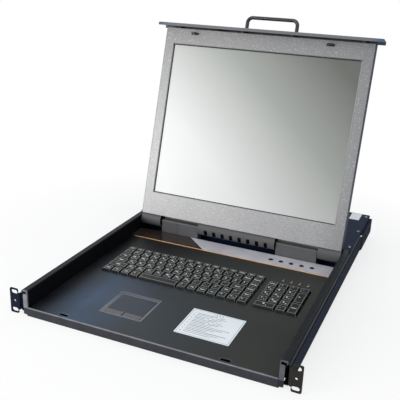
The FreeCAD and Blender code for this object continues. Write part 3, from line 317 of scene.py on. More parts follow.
# ---------------------------------------------------------------- finishes
def powder_coat(name, base, drift=0.82, roughness=0.42, grain=900.0, strength=0.25, shine=0.25):
    """Powder-coated sheet: fine orange peel, and a coat that is a little uneven."""
    material = new_material(name, base, roughness, shine=shine)
    tint = cloudy(material, base, drift, 9.0)
    peel = noise(material, object_points(material), grain)
    return grained(material, tint, peel, roughness - 0.06, roughness + 0.08, strength, 0.2 * MM)


def hammered_paint(base):
    """Silver hammered paint, bright and dark flakes in a pebbled coat whose finest bright specks are a painted
    glint, painted shade towards the lid's top and right, and the lid's sides painted dark.
    """
    material = new_material("hammered_lid_paint", base, 0.40, 0.2)
    points = object_points(material)
    nodes, links, _ = node_tools(material)
    cells = nodes.new("ShaderNodeTexVoronoi")
    cells.inputs["Scale"].default_value = 380.0
    links.new(points, cells.inputs["Vector"])
    coarse = noise(material, points, 420.0, 2.0, 0.7)
    fine = noise(material, points, 1100.0, 1.0)
    low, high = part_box("lid_bezel")
    place = axes(material)
    # Painted shade: the coat darkens towards the lid's top and towards its right, where less light falls.
    painted_shade_upward = level(material, place["Z"], low.z + 0.12, high.z - 0.01, 0.0, 1.0)
    across = level(material, place["X"], 0.15, high.x, 0.0, 0.6)
    coat = mixed(material, painted_shade_upward, cloudy(material, base, 0.9, 5.0), darker(base, 0.58))
    coat = mixed(material, across, coat, darker(base, 0.5))
    bright = tuple(min(1.0, channel * 1.6) for channel in base)
    # The coarse light and dark flakes are the coat's mottle; the fine bright specks are a painted glint.
    flakes = ((coarse, (0.44, 0.32), 0.6, darker(base, 0.55)), (coarse, (0.60, 0.70), 0.7, bright),
              (fine, (0.64, 0.74), 0.6, bright))
    for grain, (start, end), strength, tint in flakes:
        coat = mixed(material, level(material, grain, start, end, 0.0, strength), coat, tint)
    paint_with(material, coat, level(material, fine, 0.3, 0.7, 0.50, 0.30))
    bumped(material, [(cells.outputs["Distance"], 0.12), (coarse, 0.16)], 0.2 * MM)
    for side, inward in ((low.x, 1), (high.x, -1)):
        rim = level(material, place["X"], side + inward * 0.8 * MM, side + inward * 0.4 * MM, 0.0, 1.0)
        repainted(material, rim, (0.004, 0.007, 0.028))
    return material


def tray_coat(base, rubbed):
    """Powder coat of the tray, lighter on the front lip and wall ends (partly wear, partly painted highlight, with
    painted shade on the right), and darker inside the left wall, a painted shadow.
    """
    material = powder_coat("tray_coat", base, drift=0.8, roughness=0.50, shine=0.10)
    low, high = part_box("drawer_tray")
    deck_low, deck_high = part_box("deck_plate")
    wall = deck_low.x
    lip_top = deck_high.z + 0.5 * MM
    place = axes(material)
    # Wear and painted highlight on the front lip and end tabs: the lip's top takes more of the lighter paint than
    # its front face, as light falls on it, and the right side takes less, a painted shade.
    in_front = level(material, place["Y"], low.y + 2.9 * MM, low.y + 2.6 * MM, 0.0, 1.0)
    lip = level(material, place["Z"], lip_top - 1.3 * MM, lip_top - 0.5 * MM, 0.12, 0.9)
    on_right = level(material, place["X"], -wall - 2 * MM, -wall, 1.0, 0.42)
    patches = level(material, noise(material, object_points(material), 60.0, 4.0), 0.3, 0.6, 0.7, 1.0)
    repainted(material, product(material, in_front, lip, on_right, patches), rubbed)
    # Painted shadow: near black on the tray inside the left wall, where the wall shades it.
    from_left = level(material, place["X"], wall - 2.4 * MM, wall - 1.4 * MM, 0.0, 0.85)
    to_deck = level(material, place["X"], wall + 1 * MM, wall + 2 * MM, 1.0, 0.0)
    below_top = level(material, place["Z"], high.z - 2.4 * MM, high.z - 1.6 * MM, 1.0, 0.0)
    behind_lip = level(material, place["Y"], low.y + 3 * MM, low.y + 5 * MM, 0.0, 1.0)
    painted_wall_shadow = product(material, from_left, to_deck, below_top, behind_lip)
    repainted(material, painted_wall_shadow, (0.001, 0.001, 0.0012))
    return material


def bracket_coat():
    """Dark coat of the rack brackets, a shade warmer on the right-hand ear."""
    material = powder_coat("bracket_coat", (0.011, 0.016, 0.032), drift=0.85, roughness=0.6, shine=0.03)
    low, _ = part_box("right_rack_bracket")
    place = axes(material)
    ear = level(material, place["Y"], low.y + 2.2 * MM, low.y + 3.0 * MM, 1.0, 0.0)
    on_right = level(material, place["X"], 0.0, low.x, 0.0, 1.0)
    repainted(material, product(material, ear, on_right), (0.030, 0.028, 0.025))
    return material


def plate_coat(base):
    """Satin coat of the front plate, bluer towards its two ends."""
    material = powder_coat("plate_coat", base, drift=0.9, roughness=0.36)
    low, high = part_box("front_plate")
    place = axes(material)
    for end, step in ((low.x, 1), (high.x, -1)):
        near = level(material, place["X"], end + step * 20 * MM, end + step * 4 * MM, 0.0, 0.75)
        repainted(material, near, (0.045, 0.085, 0.17))
    return material


def shell_coat(base, barrel):
    """Dark powder coat of the lid's back, with the barrel along the hinge painted grey outside and near black
    inside, both painted shade.
    """
    material = powder_coat("shell_coat", base, drift=0.8, roughness=0.45, shine=0.12)
    reach = reach_from(material, (0, HINGE.y, HINGE.z), (0, 1, 1))
    # Painted shade: the barrel's outside grey, its inside near black.
    repainted(material, level(material, reach, 15.4 * MM, 14.6 * MM, 0.0, 1.0), barrel)
    repainted(material, level(material, reach, 14.2 * MM, 13.7 * MM, 0.0, 1.0), (0.002, 0.002, 0.002))
    return material


def moulded_plastic(name, base, roughness=0.45, grain=1400.0, strength=0.18, shine=0.3):
    """Moulded plastic with a fine spark-eroded texture."""
    material = new_material(name, base, roughness, shine=shine)
    tint = cloudy(material, base, 0.86, 25.0, 2.0)
    texture = noise(material, object_points(material), grain, 3.0, 0.6)
    return grained(material, tint, texture, roughness - 0.08, roughness + 0.1, strength, 0.12 * MM)


def touch_rim():
    """Plastic of the touch pad's frame, paler towards the operator: a painted highlight."""
    material = moulded_plastic("touch_rim", (0.07, 0.085, 0.105), 0.38)
    low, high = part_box("touchpad_surround")
    # Painted highlight: the frame is painted paler towards its front.
    near = level(material, axes(material)["Y"], high.y - 3 * MM, low.y + 18 * MM, 0.0, 0.9)
    repainted(material, near, (0.150, 0.160, 0.175))
    return material


def rolled_steel(name, base, roughness=0.3, along=(1, 0.02, 1), metallic=0.9):
    """Plated steel with rolling marks along one direction."""
    material = new_material(name, base, roughness, metallic)
    tint = cloudy(material, base, 0.78, 35.0)
    streaks = noise(material, object_points(material, along), 700.0, 3.0, 0.7)
    return grained(material, tint, streaks, roughness - 0.1, roughness + 0.15, 0.12, 0.1 * MM)


def gloss_film(name, base, roughness=0.12):
    """Printed film with a clear face."""
    material = new_material(name, base, roughness)
    _, _, shader = node_tools(material)
    shader.inputs["Coat Weight"].default_value = 0.35
    shader.inputs["Coat Roughness"].default_value = 0.08
    tint = cloudy(material, base, 0.85, 30.0)
    grain = noise(material, object_points(material), 2200.0, 1.0)
    return grained(material, tint, grain, roughness, roughness + 0.1, 0.06, 0.05 * MM)


def screen_face():
    """Switched-off display: an anti-glare face whose colour carries painted light, pale towards its lower left
    corner and dark towards its upper right, a painted reflection and painted shade.
    """
    material = new_material("display_face", (0.6, 0.61, 0.58), 0.38)
    low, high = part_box("display_glass")
    place = axes(material)
    # Painted light: pale at the lower left to dark at the upper right, standing in for reflection and shade.
    across = level(material, place["X"], low.x, high.x, 0.0, 0.52)
    painted_shade_upward = level(material, place["Z"], low.z, high.z, 0.0, 0.48)
    stops = [(0.08, (0.82, 0.83, 0.82)), (0.28, (0.72, 0.73, 0.72)), (0.48, (0.49, 0.50, 0.48)),
             (0.64, (0.30, 0.315, 0.295)), (0.92, (0.105, 0.11, 0.098))]
    shade = ramp(material, maths(material.node_tree, "ADD", across, painted_shade_upward), stops)
    grain = noise(material, object_points(material), 2600.0, 1.0)
    return grained(material, shade, grain, 0.34, 0.46, 0.05, 0.05 * MM)


def deck_coat(base):
    """Matt coat of the deck with light rubbing, a painted blue reflection to the operator's left, and painted
    shadow by the left wall and at the back left.
    """
    material = new_material("deck_coat", base, 0.40, shine=0.14)
    points = object_points(material)
    low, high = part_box("deck_plate")
    place = axes(material)
    across = level(material, place["X"], low.x, high.x, 0.0, 1.0)
    backward = level(material, place["Y"], low.y + 0.10, high.y - 0.08, 0.0, 1.0)
    # Painted light: near black by the left wall, a bluer painted reflection a little further in, painted shadow at
    # the back left.
    front = ramp(material, across, [(0.0, (0.002, 0.003, 0.005)), (0.05, (0.006, 0.009, 0.015)),
                                    (0.17, (0.039, 0.072, 0.126)), (0.40, (0.026, 0.036, 0.046)),
                                    (0.85, (0.028, 0.030, 0.027))])
    back = ramp(material, across, [(0.0, (0.0005, 0.001, 0.002)), (0.22, (0.003, 0.003, 0.004)),
                                   (0.48, (0.024, 0.026, 0.024)), (1.0, (0.046, 0.048, 0.043))])
    rub = level(material, noise(material, points, 14.0, 4.0), 0.4, 0.7, 0.0, 0.3)
    tint = mixed(material, rub, mixed(material, backward, front, back), tuple(base))
    return grained(material, tint, noise(material, points, 1500.0), 0.36, 0.50, 0.2, 0.12 * MM)


def circuit_board():
    """Green board under solder resist, with buried tracks."""
    material = new_material("solder_resist", (0.03, 0.14, 0.06), 0.35)
    nodes, links, _ = node_tools(material)
    bricks = nodes.new("ShaderNodeTexBrick")
    bricks.inputs["Scale"].default_value = 260.0
    bricks.inputs["Mortar Size"].default_value = 0.06
    bricks.inputs["Color1"].default_value = (0.02, 0.11, 0.045, 1)
    bricks.inputs["Color2"].default_value = (0.03, 0.15, 0.06, 1)
    bricks.inputs["Mortar"].default_value = (0.07, 0.26, 0.10, 1)
    links.new(object_points(material), bricks.inputs["Vector"])
    paint_with(material, bricks.outputs["Color"])
    bumped(material, [(bricks.outputs["Fac"], 0.2)], 0.05 * MM)
    return material


def lens_plastic():
    """Milky plastic of the status lights, a little cloudy."""
    material = new_material("light_lens", (0.62, 0.64, 0.58), 0.22)
    cloud = noise(material, object_points(material), 500.0)
    paint_with(material, ramp(material, cloud, [(0.3, (0.45, 0.47, 0.42)), (0.7, (0.72, 0.74, 0.68))]))
    return material


def printed_card():
    """Pale printed card under matt film."""
    material = new_material("card_film", (0.76, 0.82, 0.84), 0.4)
    points = object_points(material)
    cloud = noise(material, points, 18.0, 3.0)
    fibre = noise(material, points, 1200.0)
    tint = ramp(material, cloud, [(0.3, (0.80, 0.86, 0.89)), (0.7, (0.86, 0.91, 0.93))])
    return grained(material, tint, fibre, 0.34, 0.48, 0.08, 0.05 * MM)


def ink(name, tint):
    """Printing ink, worn thin in small patches."""
    material = new_material(name, tint, 0.5)
    wear = level(material, noise(material, object_points(material), 800.0, 3.0), 0.4, 0.75, 0.0, 0.5)
    paint_with(material, mixed(material, wear, tuple(tint), darker(tint, 0.6)))
    return material


# ---------------------------------------------------------------- modelling helpers
def deselect():
    if bpy.context.object and bpy.context.object.mode != "OBJECT":
        bpy.ops.object.mode_set(mode="OBJECT")
    bpy.ops.object.select_all(action="DESELECT")


def take(piece):
    """Make one object the only selected and active one."""
    deselect()
    piece.select_set(True)
    bpy.context.view_layer.objects.active = piece


def named(piece, name):
    piece.name = name
    piece.data.name = name
    return piece


def settle(piece, name=None):
    """Apply a piece's place, turn and size to its mesh."""
    take(piece)
    bpy.ops.object.transform_apply(location=True, rotation=True, scale=True)
    return named(piece, name) if name else piece


def block(name, low, high):
    """Box between two corners, as a start for shaping."""
    deselect()
    low, high = Vector(low), Vector(high)
    bpy.ops.mesh.primitive_cube_add(size=1, location=(low + high) / 2, scale=high - low)
    return settle(bpy.context.object, name)


def disc(name, centre, radius, depth, sides=24, axis="Z"):
    """Round bar along Y or Z, as a start for shaping."""
    deselect()
    turn = {"Y": (math.pi / 2, 0, 0), "Z": (0, 0, 0)}[axis]
    bpy.ops.mesh.primitive_cylinder_add(vertices=sides, radius=radius, depth=depth, location=centre,
                                        rotation=turn)
    return settle(bpy.context.object, name)


def pick_faces(piece, wanted):
    """Select only the faces for which wanted(centre, normal) holds, and enter edit mode."""
    take(piece)
    for part in (piece.data.vertices, piece.data.edges):
        for item in part:
            item.select = False
    for face in piece.data.polygons:
        face.select = wanted(face.center, face.normal)
    bpy.ops.object.mode_set(mode="EDIT")
    bpy.ops.mesh.select_mode(type="FACE")


def leave():
    """Back to object mode."""
    bpy.ops.object.mode_set(mode="OBJECT")


def sunk(border, move):
    """Move the picked faces inwards, inside a border, and leave edit mode."""
    bpy.ops.mesh.inset(thickness=border)
    bpy.ops.transform.translate(value=move)
    leave()


def eased(piece, radius, segments=2, angle=30.0, edge_slot=-1):
    """Round a piece's sharp edges; the rounded faces may take a material slot of their own."""
    take(piece)
    bevel = piece.modifiers.new("eased", "BEVEL")
    bevel.width = radius
    bevel.segments = segments
    bevel.limit_method = "ANGLE"
    bevel.angle_limit = math.radians(angle)
    bevel.material = edge_slot
    bpy.ops.object.modifier_apply(modifier=bevel.name)
    bpy.ops.object.shade_smooth_by_angle(angle=math.radians(35))
    weighted = piece.modifiers.new("flat_faces", "WEIGHTED_NORMAL")
    weighted.keep_sharp = True
    weighted.weight = 90
    bpy.ops.object.modifier_apply(modifier=weighted.name)
    return piece


def joined(name, pieces):
    """Several pieces as one mesh."""
    deselect()
    for piece in pieces:
        piece.select_set(True)
    bpy.context.view_layer.objects.active = pieces[0]
    if len(pieces) > 1:
        bpy.ops.object.join()
    return named(bpy.context.object, name)


def copied(piece, matrix):
    """A copy of a piece with its own mesh, moved by a matrix."""
    twin = piece.copy()
    twin.data = piece.data.copy()
    bpy.context.scene.collection.objects.link(twin)
    twin.data.transform(matrix)
    return twin


def stand_open(piece):
    """Turn a lid piece, modelled with the lid shut, to the lid's standing place."""
    piece.matrix_world = OPEN_TURN
    return settle(piece)


def dressed(piece, material, body, hides=()):
    """Give a finished piece its material, its body and the nodes that it stands in for."""
    if len(piece.data.materials) < 2:
        piece.data.materials.clear()
        piece.data.materials.append(material)
    else:
        piece.data.materials[0] = material
    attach(piece, body)
    if hides:
        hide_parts(*hides)
    return piece


def lettering(text, centre, height, squeeze=1.0):
    """Flat generic lettering that reads from the operator's side, as a thin mesh."""
    deselect()
    bpy.ops.object.text_add(location=centre)
    piece = bpy.context.object
    piece.data.body = text
    piece.data.offset = 0.03 * height
    piece.data.size = height
    piece.data.align_x = "CENTER"
    piece.data.align_y = "CENTER"
    piece.data.resolution_u = 2
    piece.scale = (squeeze, 1, 1)
    bpy.ops.object.convert(target="MESH")
    return settle(bpy.context.object)


def softened(node, radius, edge=None):
    """A copy of a node with its sharp edges rounded, in a finish of their own if one is given."""
    piece = named(copied(frame["nodes"][node], Matrix.Identity(4)), node + "_eased")
    piece.parent = None
    for key in list(piece.keys()):
        if key.startswith("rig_"):
            del piece[key]
    take(piece)
    bpy.ops.object.mode_set(mode="EDIT")
    bpy.ops.mesh.select_all(action="SELECT")
    bpy.ops.mesh.remove_doubles(threshold=0.002 * MM)
    bpy.ops.mesh.dissolve_limited(angle_limit=math.radians(0.6))
    leave()
    if edge:
        piece.data.materials.append(edge)
    return eased(piece, radius, 2, 40.0, 1 if edge else -1)


# ---------------------------------------------------------------- the frame's finishes
# Each row of keys: the body it presses with, and its legends from left to right.
KEY_ROWS = {
    "keys_bottom_row": ("bottom_row",
                        ["Ctrl", "Fn", "Alt", "\\", "/", "Alt", "Ctrl", "Ins", "<", "v", ">"]),
    "space_bar": ("space", [""]),
    "keys_lower_row": ("lower_row", ["Shift"] + list("ZXCVBNM,./") + ["Shift", "^", "End"]),
    "keys_home_row": ("home_row", ["Caps"] + list("ASDFGHJKL;'") + ["Enter", "PgDn"]),
    "keys_upper_row": ("upper_row", ["Tab"] + list("QWERTYUIOP[]") + ["\\", "PgUp"]),
    "keys_number_row": ("number_row", list("`1234567890-=") + ["Back", "Home"]),
    "keys_function_row": ("function_row",
                          ["Esc"] + ["F%d" % number for number in range(1, 13)] + ["Num", "Prt", "Del"]),
    "keypad_keys": ("keypad", ["0", ".", "Enter", "+"] + list("123456789") + ["Num", "/", "*", "-"]),
}
STRIP_BUTTONS = {"panel_button_%d" % number: "button_%d" % number for number in range(1, 6)}
RAILS = [side + member + "_rail" for side in ("left_", "right_") for member in ("outer", "middle", "inner")]


def wear(material, *nodes):
    """Put a finish on nodes of the frame."""
    for node in nodes:
        frame["nodes"][node].material_slots[0].material = material


class DRAWER_OT_finish_frame(bpy.types.Operator):
    """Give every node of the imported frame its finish"""

    bl_idname = "drawer.finish_frame"
    bl_label = "Finish the frame"

    def execute(self, context):
        paints = finishes()
        wear(tray_coat(paints.tray_paint, paints.edge_wear_and_highlight), "drawer_tray")
        wear(powder_coat("box_coat", paints.box_paint, drift=0.8, roughness=0.55, shine=0.05),
             "rear_cover", "rear_panel", "power_supply")
        wear(bracket_coat(), "left_rack_bracket", "right_rack_bracket")
        wear(rolled_steel("rail_steel", paints.rail_black, 0.5, metallic=0.35), *RAILS)
        wear(rolled_steel("cage_steel", (0.62, 0.62, 0.63), 0.22), "outer_ball_cages", "inner_ball_cages")
        wear(deck_coat(paints.deck_paint), "deck_plate")
        wear(moulded_plastic("frame_plastic", (0.012, 0.012, 0.013), 0.5), "keyboard_frame")
        wear(moulded_plastic("membrane", (0.32, 0.32, 0.31), 0.7), "keyboard_membrane")
        wear(rolled_steel("plain_steel", (0.5, 0.5, 0.5), 0.34, (0.02, 1, 1)), "keyboard_base_plate",
             "hinge_brackets", "hinge_leaves", "display_brackets", "hinge_pins")
        wear(touch_rim(), "touchpad_surround")
        wear(moulded_plastic("touch_plastic", (0.022, 0.033, 0.050), 0.42, shine=0.2), "touch_pad")
        wear(moulded_plastic("touch_button_plastic", (0.075, 0.078, 0.086), 0.36), "left_touch_button",
             "right_touch_button")
        wear(printed_card(), "guide_card")
        wear(lens_plastic(), "status_lights")
        wear(moulded_plastic("strip_base", (0.02, 0.02, 0.022)), "control_panel")
        wear(gloss_film("dark_film", (0.03, 0.02, 0.016), 0.1), "panel_dark_film")
        wear(gloss_film("silver_film", paints.strip_silver, 0.3), "panel_silver_film")
        wear(gloss_film("trim_film", paints.strip_trim, 0.2), "trim_line")
        wear(moulded_plastic("button_plastic", (0.012, 0.012, 0.014), 0.3), *STRIP_BUTTONS)
        wear(circuit_board(), "button_board", "controller_board")
        wear(moulded_plastic("inlet_plastic", (0.02, 0.02, 0.02), 0.35), "power_inlet")
        wear(rolled_steel("connector_steel", (0.55, 0.55, 0.57), 0.25), "rear_connectors")
        wear(moulded_plastic("cover_plastic", (0.12, 0.122, 0.126), 0.42), "left_hinge_cover",
             "right_hinge_cover")
        wear(hammered_paint(paints.lid_paint), "lid_bezel")
        # The barrel's grey is painted shade.
        wear(shell_coat(paints.shell_paint, (0.115, 0.115, 0.118)), "lid_back_shell")
        wear(screen_face(), "display_glass")
        wear(moulded_plastic("display_case", (0.05, 0.05, 0.052), 0.4), "display_panel")
        wear(plate_coat(paints.plate_paint), "front_plate")
        wear(powder_coat("handle_coat", (0.010, 0.010, 0.017), 0.9, 0.26, 700.0, 0.12, 0.5), "bow_handle")
        # The latch steel is near black, standing in for the shade in the latch slots: painted shade.
        wear(rolled_steel("latch_steel", (0.045, 0.045, 0.048), 0.25), "latch_bar")
        wear(moulded_plastic("key_plastic", paints.key_plastic, 0.42, 1800.0, 0.2, 0.18), *KEY_ROWS)
        # Two finishes that only the fine pieces take.
        # A black that stands in for the shade in grooves and holes: painted shade.
        moulded_plastic("painted_shade_black", (0.006, 0.006, 0.007), 0.6)
        rolled_steel("screw_steel", (0.30, 0.30, 0.31), 0.3, (1, 1, 1))
        return {"FINISHED"}


# ---------------------------------------------------------------- keys and print
PRINT = 0.03 * MM  # how far ink stands above what it is printed on


def islands(node):
    """Each separate solid of a node as (low, high) corners, in order along X."""
    mesh = frame["nodes"][node].data
    parent = list(range(len(mesh.vertices)))

    def root(index):
        while parent[index] != index:
            parent[index] = parent[parent[index]]
            index = parent[index]
        return index

    by_place = {}
    for vertex in mesh.vertices:
        key = tuple(round(value * 1e6) for value in vertex.co)
        if key in by_place:
            parent[root(vertex.index)] = root(by_place[key])
        by_place[key] = vertex.index
    for edge in mesh.edges:
        parent[root(edge.vertices[0])] = root(edge.vertices[1])
    solids = {}
    for vertex in mesh.vertices:
        solids.setdefault(root(vertex.index), []).append(vertex.co)
    return sorted(map(corners, solids.values()), key=lambda box: (round(box[0].x, 4), box[0].y))


def reading_order(node, boxes):
    """Caps in the order of their legends; on the keypad the wide, the point and the tall keys come first."""
    if node != "keypad_keys":
        return boxes
    one_key = 30 * MM
    lowest = min(box[0].y for box in boxes)
    wide = [box for box in boxes if box[1].x - box[0].x > one_key]
    tall = sorted([box for box in boxes if box[1].y - box[0].y > one_key], key=lambda box: box[0].y)
    single = [box for box in boxes if box not in wide and box not in tall]
    point = [box for box in single if box[0].y < lowest + 5 * MM]
    rest = [box for box in single if box not in point]
    return wide + point + tall + sorted(rest, key=lambda box: (round(box[0].y, 3), box[0].x))


def moulded_cap(low, high, plastic, worn):
    """One key cap: tapered sides, a dished crown, and rounded edges in a paler plastic, a painted highlight."""
    skirt_depth, side_slope, front_slope, crown_border = 6.5 * MM, 1.7 * MM, 1.5 * MM, 0.9 * MM
    cap = block("cap", (low.x, low.y, high.z - skirt_depth), (high.x, high.y, high.z))
    taper = (1 - 2 * side_slope / (high.x - low.x), 1 - 2 * front_slope / (high.y - low.y), 1)
    pick_faces(cap, lambda centre, normal: normal.z > 0.9)
    bpy.ops.transform.resize(value=taper, center_override=(low + high) / 2)
    sunk(crown_border, (0, 0, -sizes().key_dish))
    cap.data.materials.append(plastic)
    # The rounded edges take the paler plastic, a painted highlight.
    cap.data.materials.append(worn)
    return eased(cap, sizes().key_edge, 2, 12.0, 1)


class DRAWER_OT_key_caps(bpy.types.Operator):
    """Mould the key caps and their stems row by row, on the rows of the frame"""

    bl_idname = "drawer.key_caps"
    bl_label = "Key caps"

    def execute(self, context):
        stem_half, stem_gap = 2.2 * MM, 5.0 * MM
        plastic = FINISH["key_plastic"]
        # Paler plastic for the caps' rounded edges: a painted highlight.
        worn = moulded_plastic("key_edge_highlight", (0.19, 0.195, 0.19), 0.30, 1800.0, 0.1, 0.35)
        moulds = {}
        for node, (body, _) in KEY_ROWS.items():
            caps = []
            for low, high in islands(node):
                shape = (round((high.x - low.x) / MM, 1), round((high.y - low.y) / MM, 1))
                if shape not in moulds:
                    moulds[shape] = (moulded_cap(low, high, plastic, worn), low.copy())
                mould, place = moulds[shape]
                caps.append(copied(mould, Matrix.Translation(low - place)))
                middle = (low + high) / 2
                stem = block("stem", (middle.x - stem_half, middle.y - stem_half, low.z),
                             (middle.x + stem_half, middle.y + stem_half, high.z - stem_gap))
                stem.data.materials.append(plastic)
                caps.append(eased(stem, 0.2 * MM, 1))
            dressed(joined(node + "_caps", caps), plastic, body, [node])
        for mould, _ in moulds.values():
            bpy.data.objects.remove(mould)
        return {"FINISHED"}


def shifted_mark(label):
    """The small second mark of a letter or number key."""
    return "!@#$%^&*()"["1234567890".index(label)] if label.isdigit() else label.lower()


def legend_marks(label, low, high, is_function_key):
    """A word in the middle of its key, or a letter towards one corner with a small one across from it."""
    share = 0.62 if is_function_key else 0.72 if len(label) > 1 else 1.0
    height = sizes().legend_height * share
    place = Vector(((low.x + high.x) / 2, (low.y + high.y) / 2, high.z - sizes().key_dish + PRINT))
    if share == 1.0:
        place += Vector((-2.2 * MM, 1.9 * MM, 0))
    squeeze = min(1.0, (high.x - low.x - 6 * MM) / (0.62 * height * len(label)))
    marks = [lettering(label, place, height, squeeze)]
    if share == 1.0 and label.isalnum():
        across = Vector((4.8 * MM, -3.9 * MM, 0))
        marks.append(lettering(shifted_mark(label), place + across, height * 0.66))
    return marks


class DRAWER_OT_key_legends(bpy.types.Operator):
    """Print the generic legends on the key caps"""

    bl_idname = "drawer.key_legends"
    bl_label = "Key legends"

    def execute(self, context):
        white = ink("legend_ink", tuple(finishes().legend_ink))
        for node, (body, labels) in KEY_ROWS.items():
            marks = []
            for label, (low, high) in zip(labels, reading_order(node, islands(node))):
                if label:
                    marks += legend_marks(label, low, high, node == "keys_function_row")
            if marks:
                dressed(joined(node + "_legends", marks), white, body)
        return {"FINISHED"}


def frame_strip(name, low, high, border, thickness):
    """Flat frame with an open middle, standing up from the lower corner's height."""
    deselect()
    middle = Vector(((low.x + high.x) / 2, (low.y + high.y) / 2, low.z))
    bpy.ops.mesh.primitive_plane_add(size=1, location=middle)
    piece = bpy.context.object
    piece.scale = (high.x - low.x, high.y - low.y, 1)
    settle(piece, name)
    bpy.ops.object.mode_set(mode="EDIT")
    bpy.ops.mesh.select_mode(type="FACE")
    bpy.ops.mesh.select_all(action="SELECT")
    bpy.ops.mesh.inset(thickness=border)
    bpy.ops.mesh.delete(type="FACE")
    leave()
    wall = piece.modifiers.new("wall", "SOLIDIFY")
    wall.thickness = thickness
    wall.offset = 1.0
    bpy.ops.object.modifier_apply(modifier=wall.name)
    return piece


class DRAWER_OT_card_print(bpy.types.Operator):
    """Print a border, ruled lines and numerals on the pale card"""

    bl_idname = "drawer.card_print"
    bl_label = "Card print"

    def execute(self, context):
        grey = ink("card_ink", (0.16, 0.19, 0.24))
        low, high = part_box("guide_card")
        top = high.z + PRINT
        edge = Vector((2.2 * MM, 2.2 * MM, 0))
        marks = [lettering("1  2  3  4", Vector(((low.x + high.x) / 2, high.y - 6 * MM, top)), 4.6 * MM),
                 frame_strip("border", Vector((low.x, low.y, high.z)) + edge, high - edge, 0.5 * MM, PRINT)]
        margin, indent, word_gap, headed = 6 * MM, 6 * MM, 5 * MM, 11.5 * MM
        line_count, broken_lines = 15, 7
        step = (high.y - low.y - 16 * MM) / line_count
        for index in range(line_count):
            y = high.y - headed - index * step
            parts = 2 if index < broken_lines else 1
            half_weight = (0.45 if index % 3 else 0.6) * MM
            start = low.x + margin + indent
            for part in range(parts):
                length = (high.x - margin - start) * (0.92 - 0.15 * ((index * 5 + part * 3) % 4)) / parts
                end = start + length
                marks.append(block("rule", (start, y - half_weight, high.z), (end, y + half_weight, top)))
                start = end + word_gap
            if index % 2 == 0:
                place = Vector((low.x + margin + 1.5 * MM, y, top))
                marks.append(lettering(str(index // 2 + 1), place, 3.6 * MM))
        dressed(joined("card_print", marks), grey, "drawer")
        return {"FINISHED"}


class DRAWER_OT_deck_print(bpy.types.Operator):
    """Print the numerals of the status lights on the deck"""

    bl_idname = "drawer.deck_print"
    bl_label = "Deck print"

    def execute(self, context):
        pale = ink("deck_ink", (0.5, 0.51, 0.5))
        low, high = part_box("status_lights")
        light_radius = 3 * MM
        lights = 4
        pitch = (high.x - low.x - 2 * light_radius) / (lights - 1)
        deck_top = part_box("guide_card")[0].z
        marks = []
        for index in range(lights):
            place = Vector((low.x + light_radius + index * pitch, high.y + 4.4 * MM, deck_top + 0.04 * MM))
            marks.append(lettering(str(index + 1), place, 3.6 * MM))
        dressed(joined("status_numerals", marks), pale, "drawer")
        return {"FINISHED"}


# ---------------------------------------------------------------- rounded sheet and mouldings
# For each node: its share of the fold radius, and the paler finish of a painted highlight along its rounded edges,
# where it has one.
EASED_NODES = {
    "drawer_tray": (1.4, "edge_highlight_coat"), "rear_cover": (1.4, ""),
    "front_plate": (0.8, ""), "lid_bezel": (0.8, ""),
    "left_rack_bracket": (1.2, "edge_highlight_bracket"), "right_rack_bracket": (1.2, "edge_highlight_bracket"),
    "touchpad_surround": (0.8, "edge_highlight_plastic"), "touch_pad": (0.5, ""),
    "left_touch_button": (0.6, "edge_highlight_plastic"), "right_touch_button": (0.6, "edge_highlight_plastic"),
    "left_hinge_cover": (1.5, "edge_highlight_plastic"), "right_hinge_cover": (1.5, "edge_highlight_plastic"),
    "lid_back_shell": (0.8, ""), "deck_plate": (1.0, "edge_highlight_coat"), "latch_bar": (0.8, ""),
    "trim_line": (0.6, ""), "guide_card": (0.2, ""),
}


class DRAWER_OT_eased_sheet(bpy.types.Operator):
    """Round the raw edges of the folded sheet and the mouldings that show"""

    bl_idname = "drawer.eased_sheet"
    bl_label = "Eased edges"

    def execute(self, context):
        # The painted-highlight finishes that EASED_NODES names for rounded edges.
        powder_coat("edge_highlight_coat", finishes().edge_wear_and_highlight, drift=0.7, roughness=0.3)
        powder_coat("edge_highlight_bracket", (0.055, 0.056, 0.060), drift=0.7, roughness=0.5, shine=0.1)
        moulded_plastic("edge_highlight_plastic", (0.26, 0.265, 0.27), 0.36)
        bodies = frame["record"]["behaviour"]["bodies"]
        for node, (share, edge) in EASED_NODES.items():
            body = next(name for name, members in bodies.items() if node in members)
            coat = frame["nodes"][node].material_slots[0].material
            piece = softened(node, sizes().fold_radius * share, FINISH.get(edge))
            dressed(piece, coat, body, [node])
        return {"FINISHED"}


# ---------------------------------------------------------------- fine pieces
class DRAWER_OT_display_shade_strip(bpy.types.Operator):
    """Lay a dark strip between the lid's frame and the display, standing in for the shade in the frame's opening,
    with a painted highlight on its right side
    """

    bl_idname = "drawer.display_gasket"
    bl_label = "Display shade strip"

    def execute(self, context):
        lap, width, thickness = Vector((4 * MM, 4 * MM, 0)), 1.5 * MM, 0.8 * MM
        recess_shade_paint = moulded_plastic("display_recess_shade", (0.010, 0.010, 0.011), 0.6)
        low, high = shut_box("display_glass")
        # Painted highlight: the strip's right side is painted pale.
        on_right = level(recess_shade_paint, axes(recess_shade_paint)["X"], high.x - 6.2 * MM, high.x - 5.6 * MM, 0.0, 1.0)
        repainted(recess_shade_paint, on_right, (0.42, 0.43, 0.41))
        # A dark strip that stands in for the shade inside the frame's opening.
        gasket = frame_strip("display_shade_strip", low + lap, high - lap, width, thickness)
        gasket.data.transform(Matrix.Translation((0, 0, -thickness)))
        dressed(stand_open(eased(gasket, 0.2 * MM, 2)), recess_shade_paint, "lid")
        return {"FINISHED"}


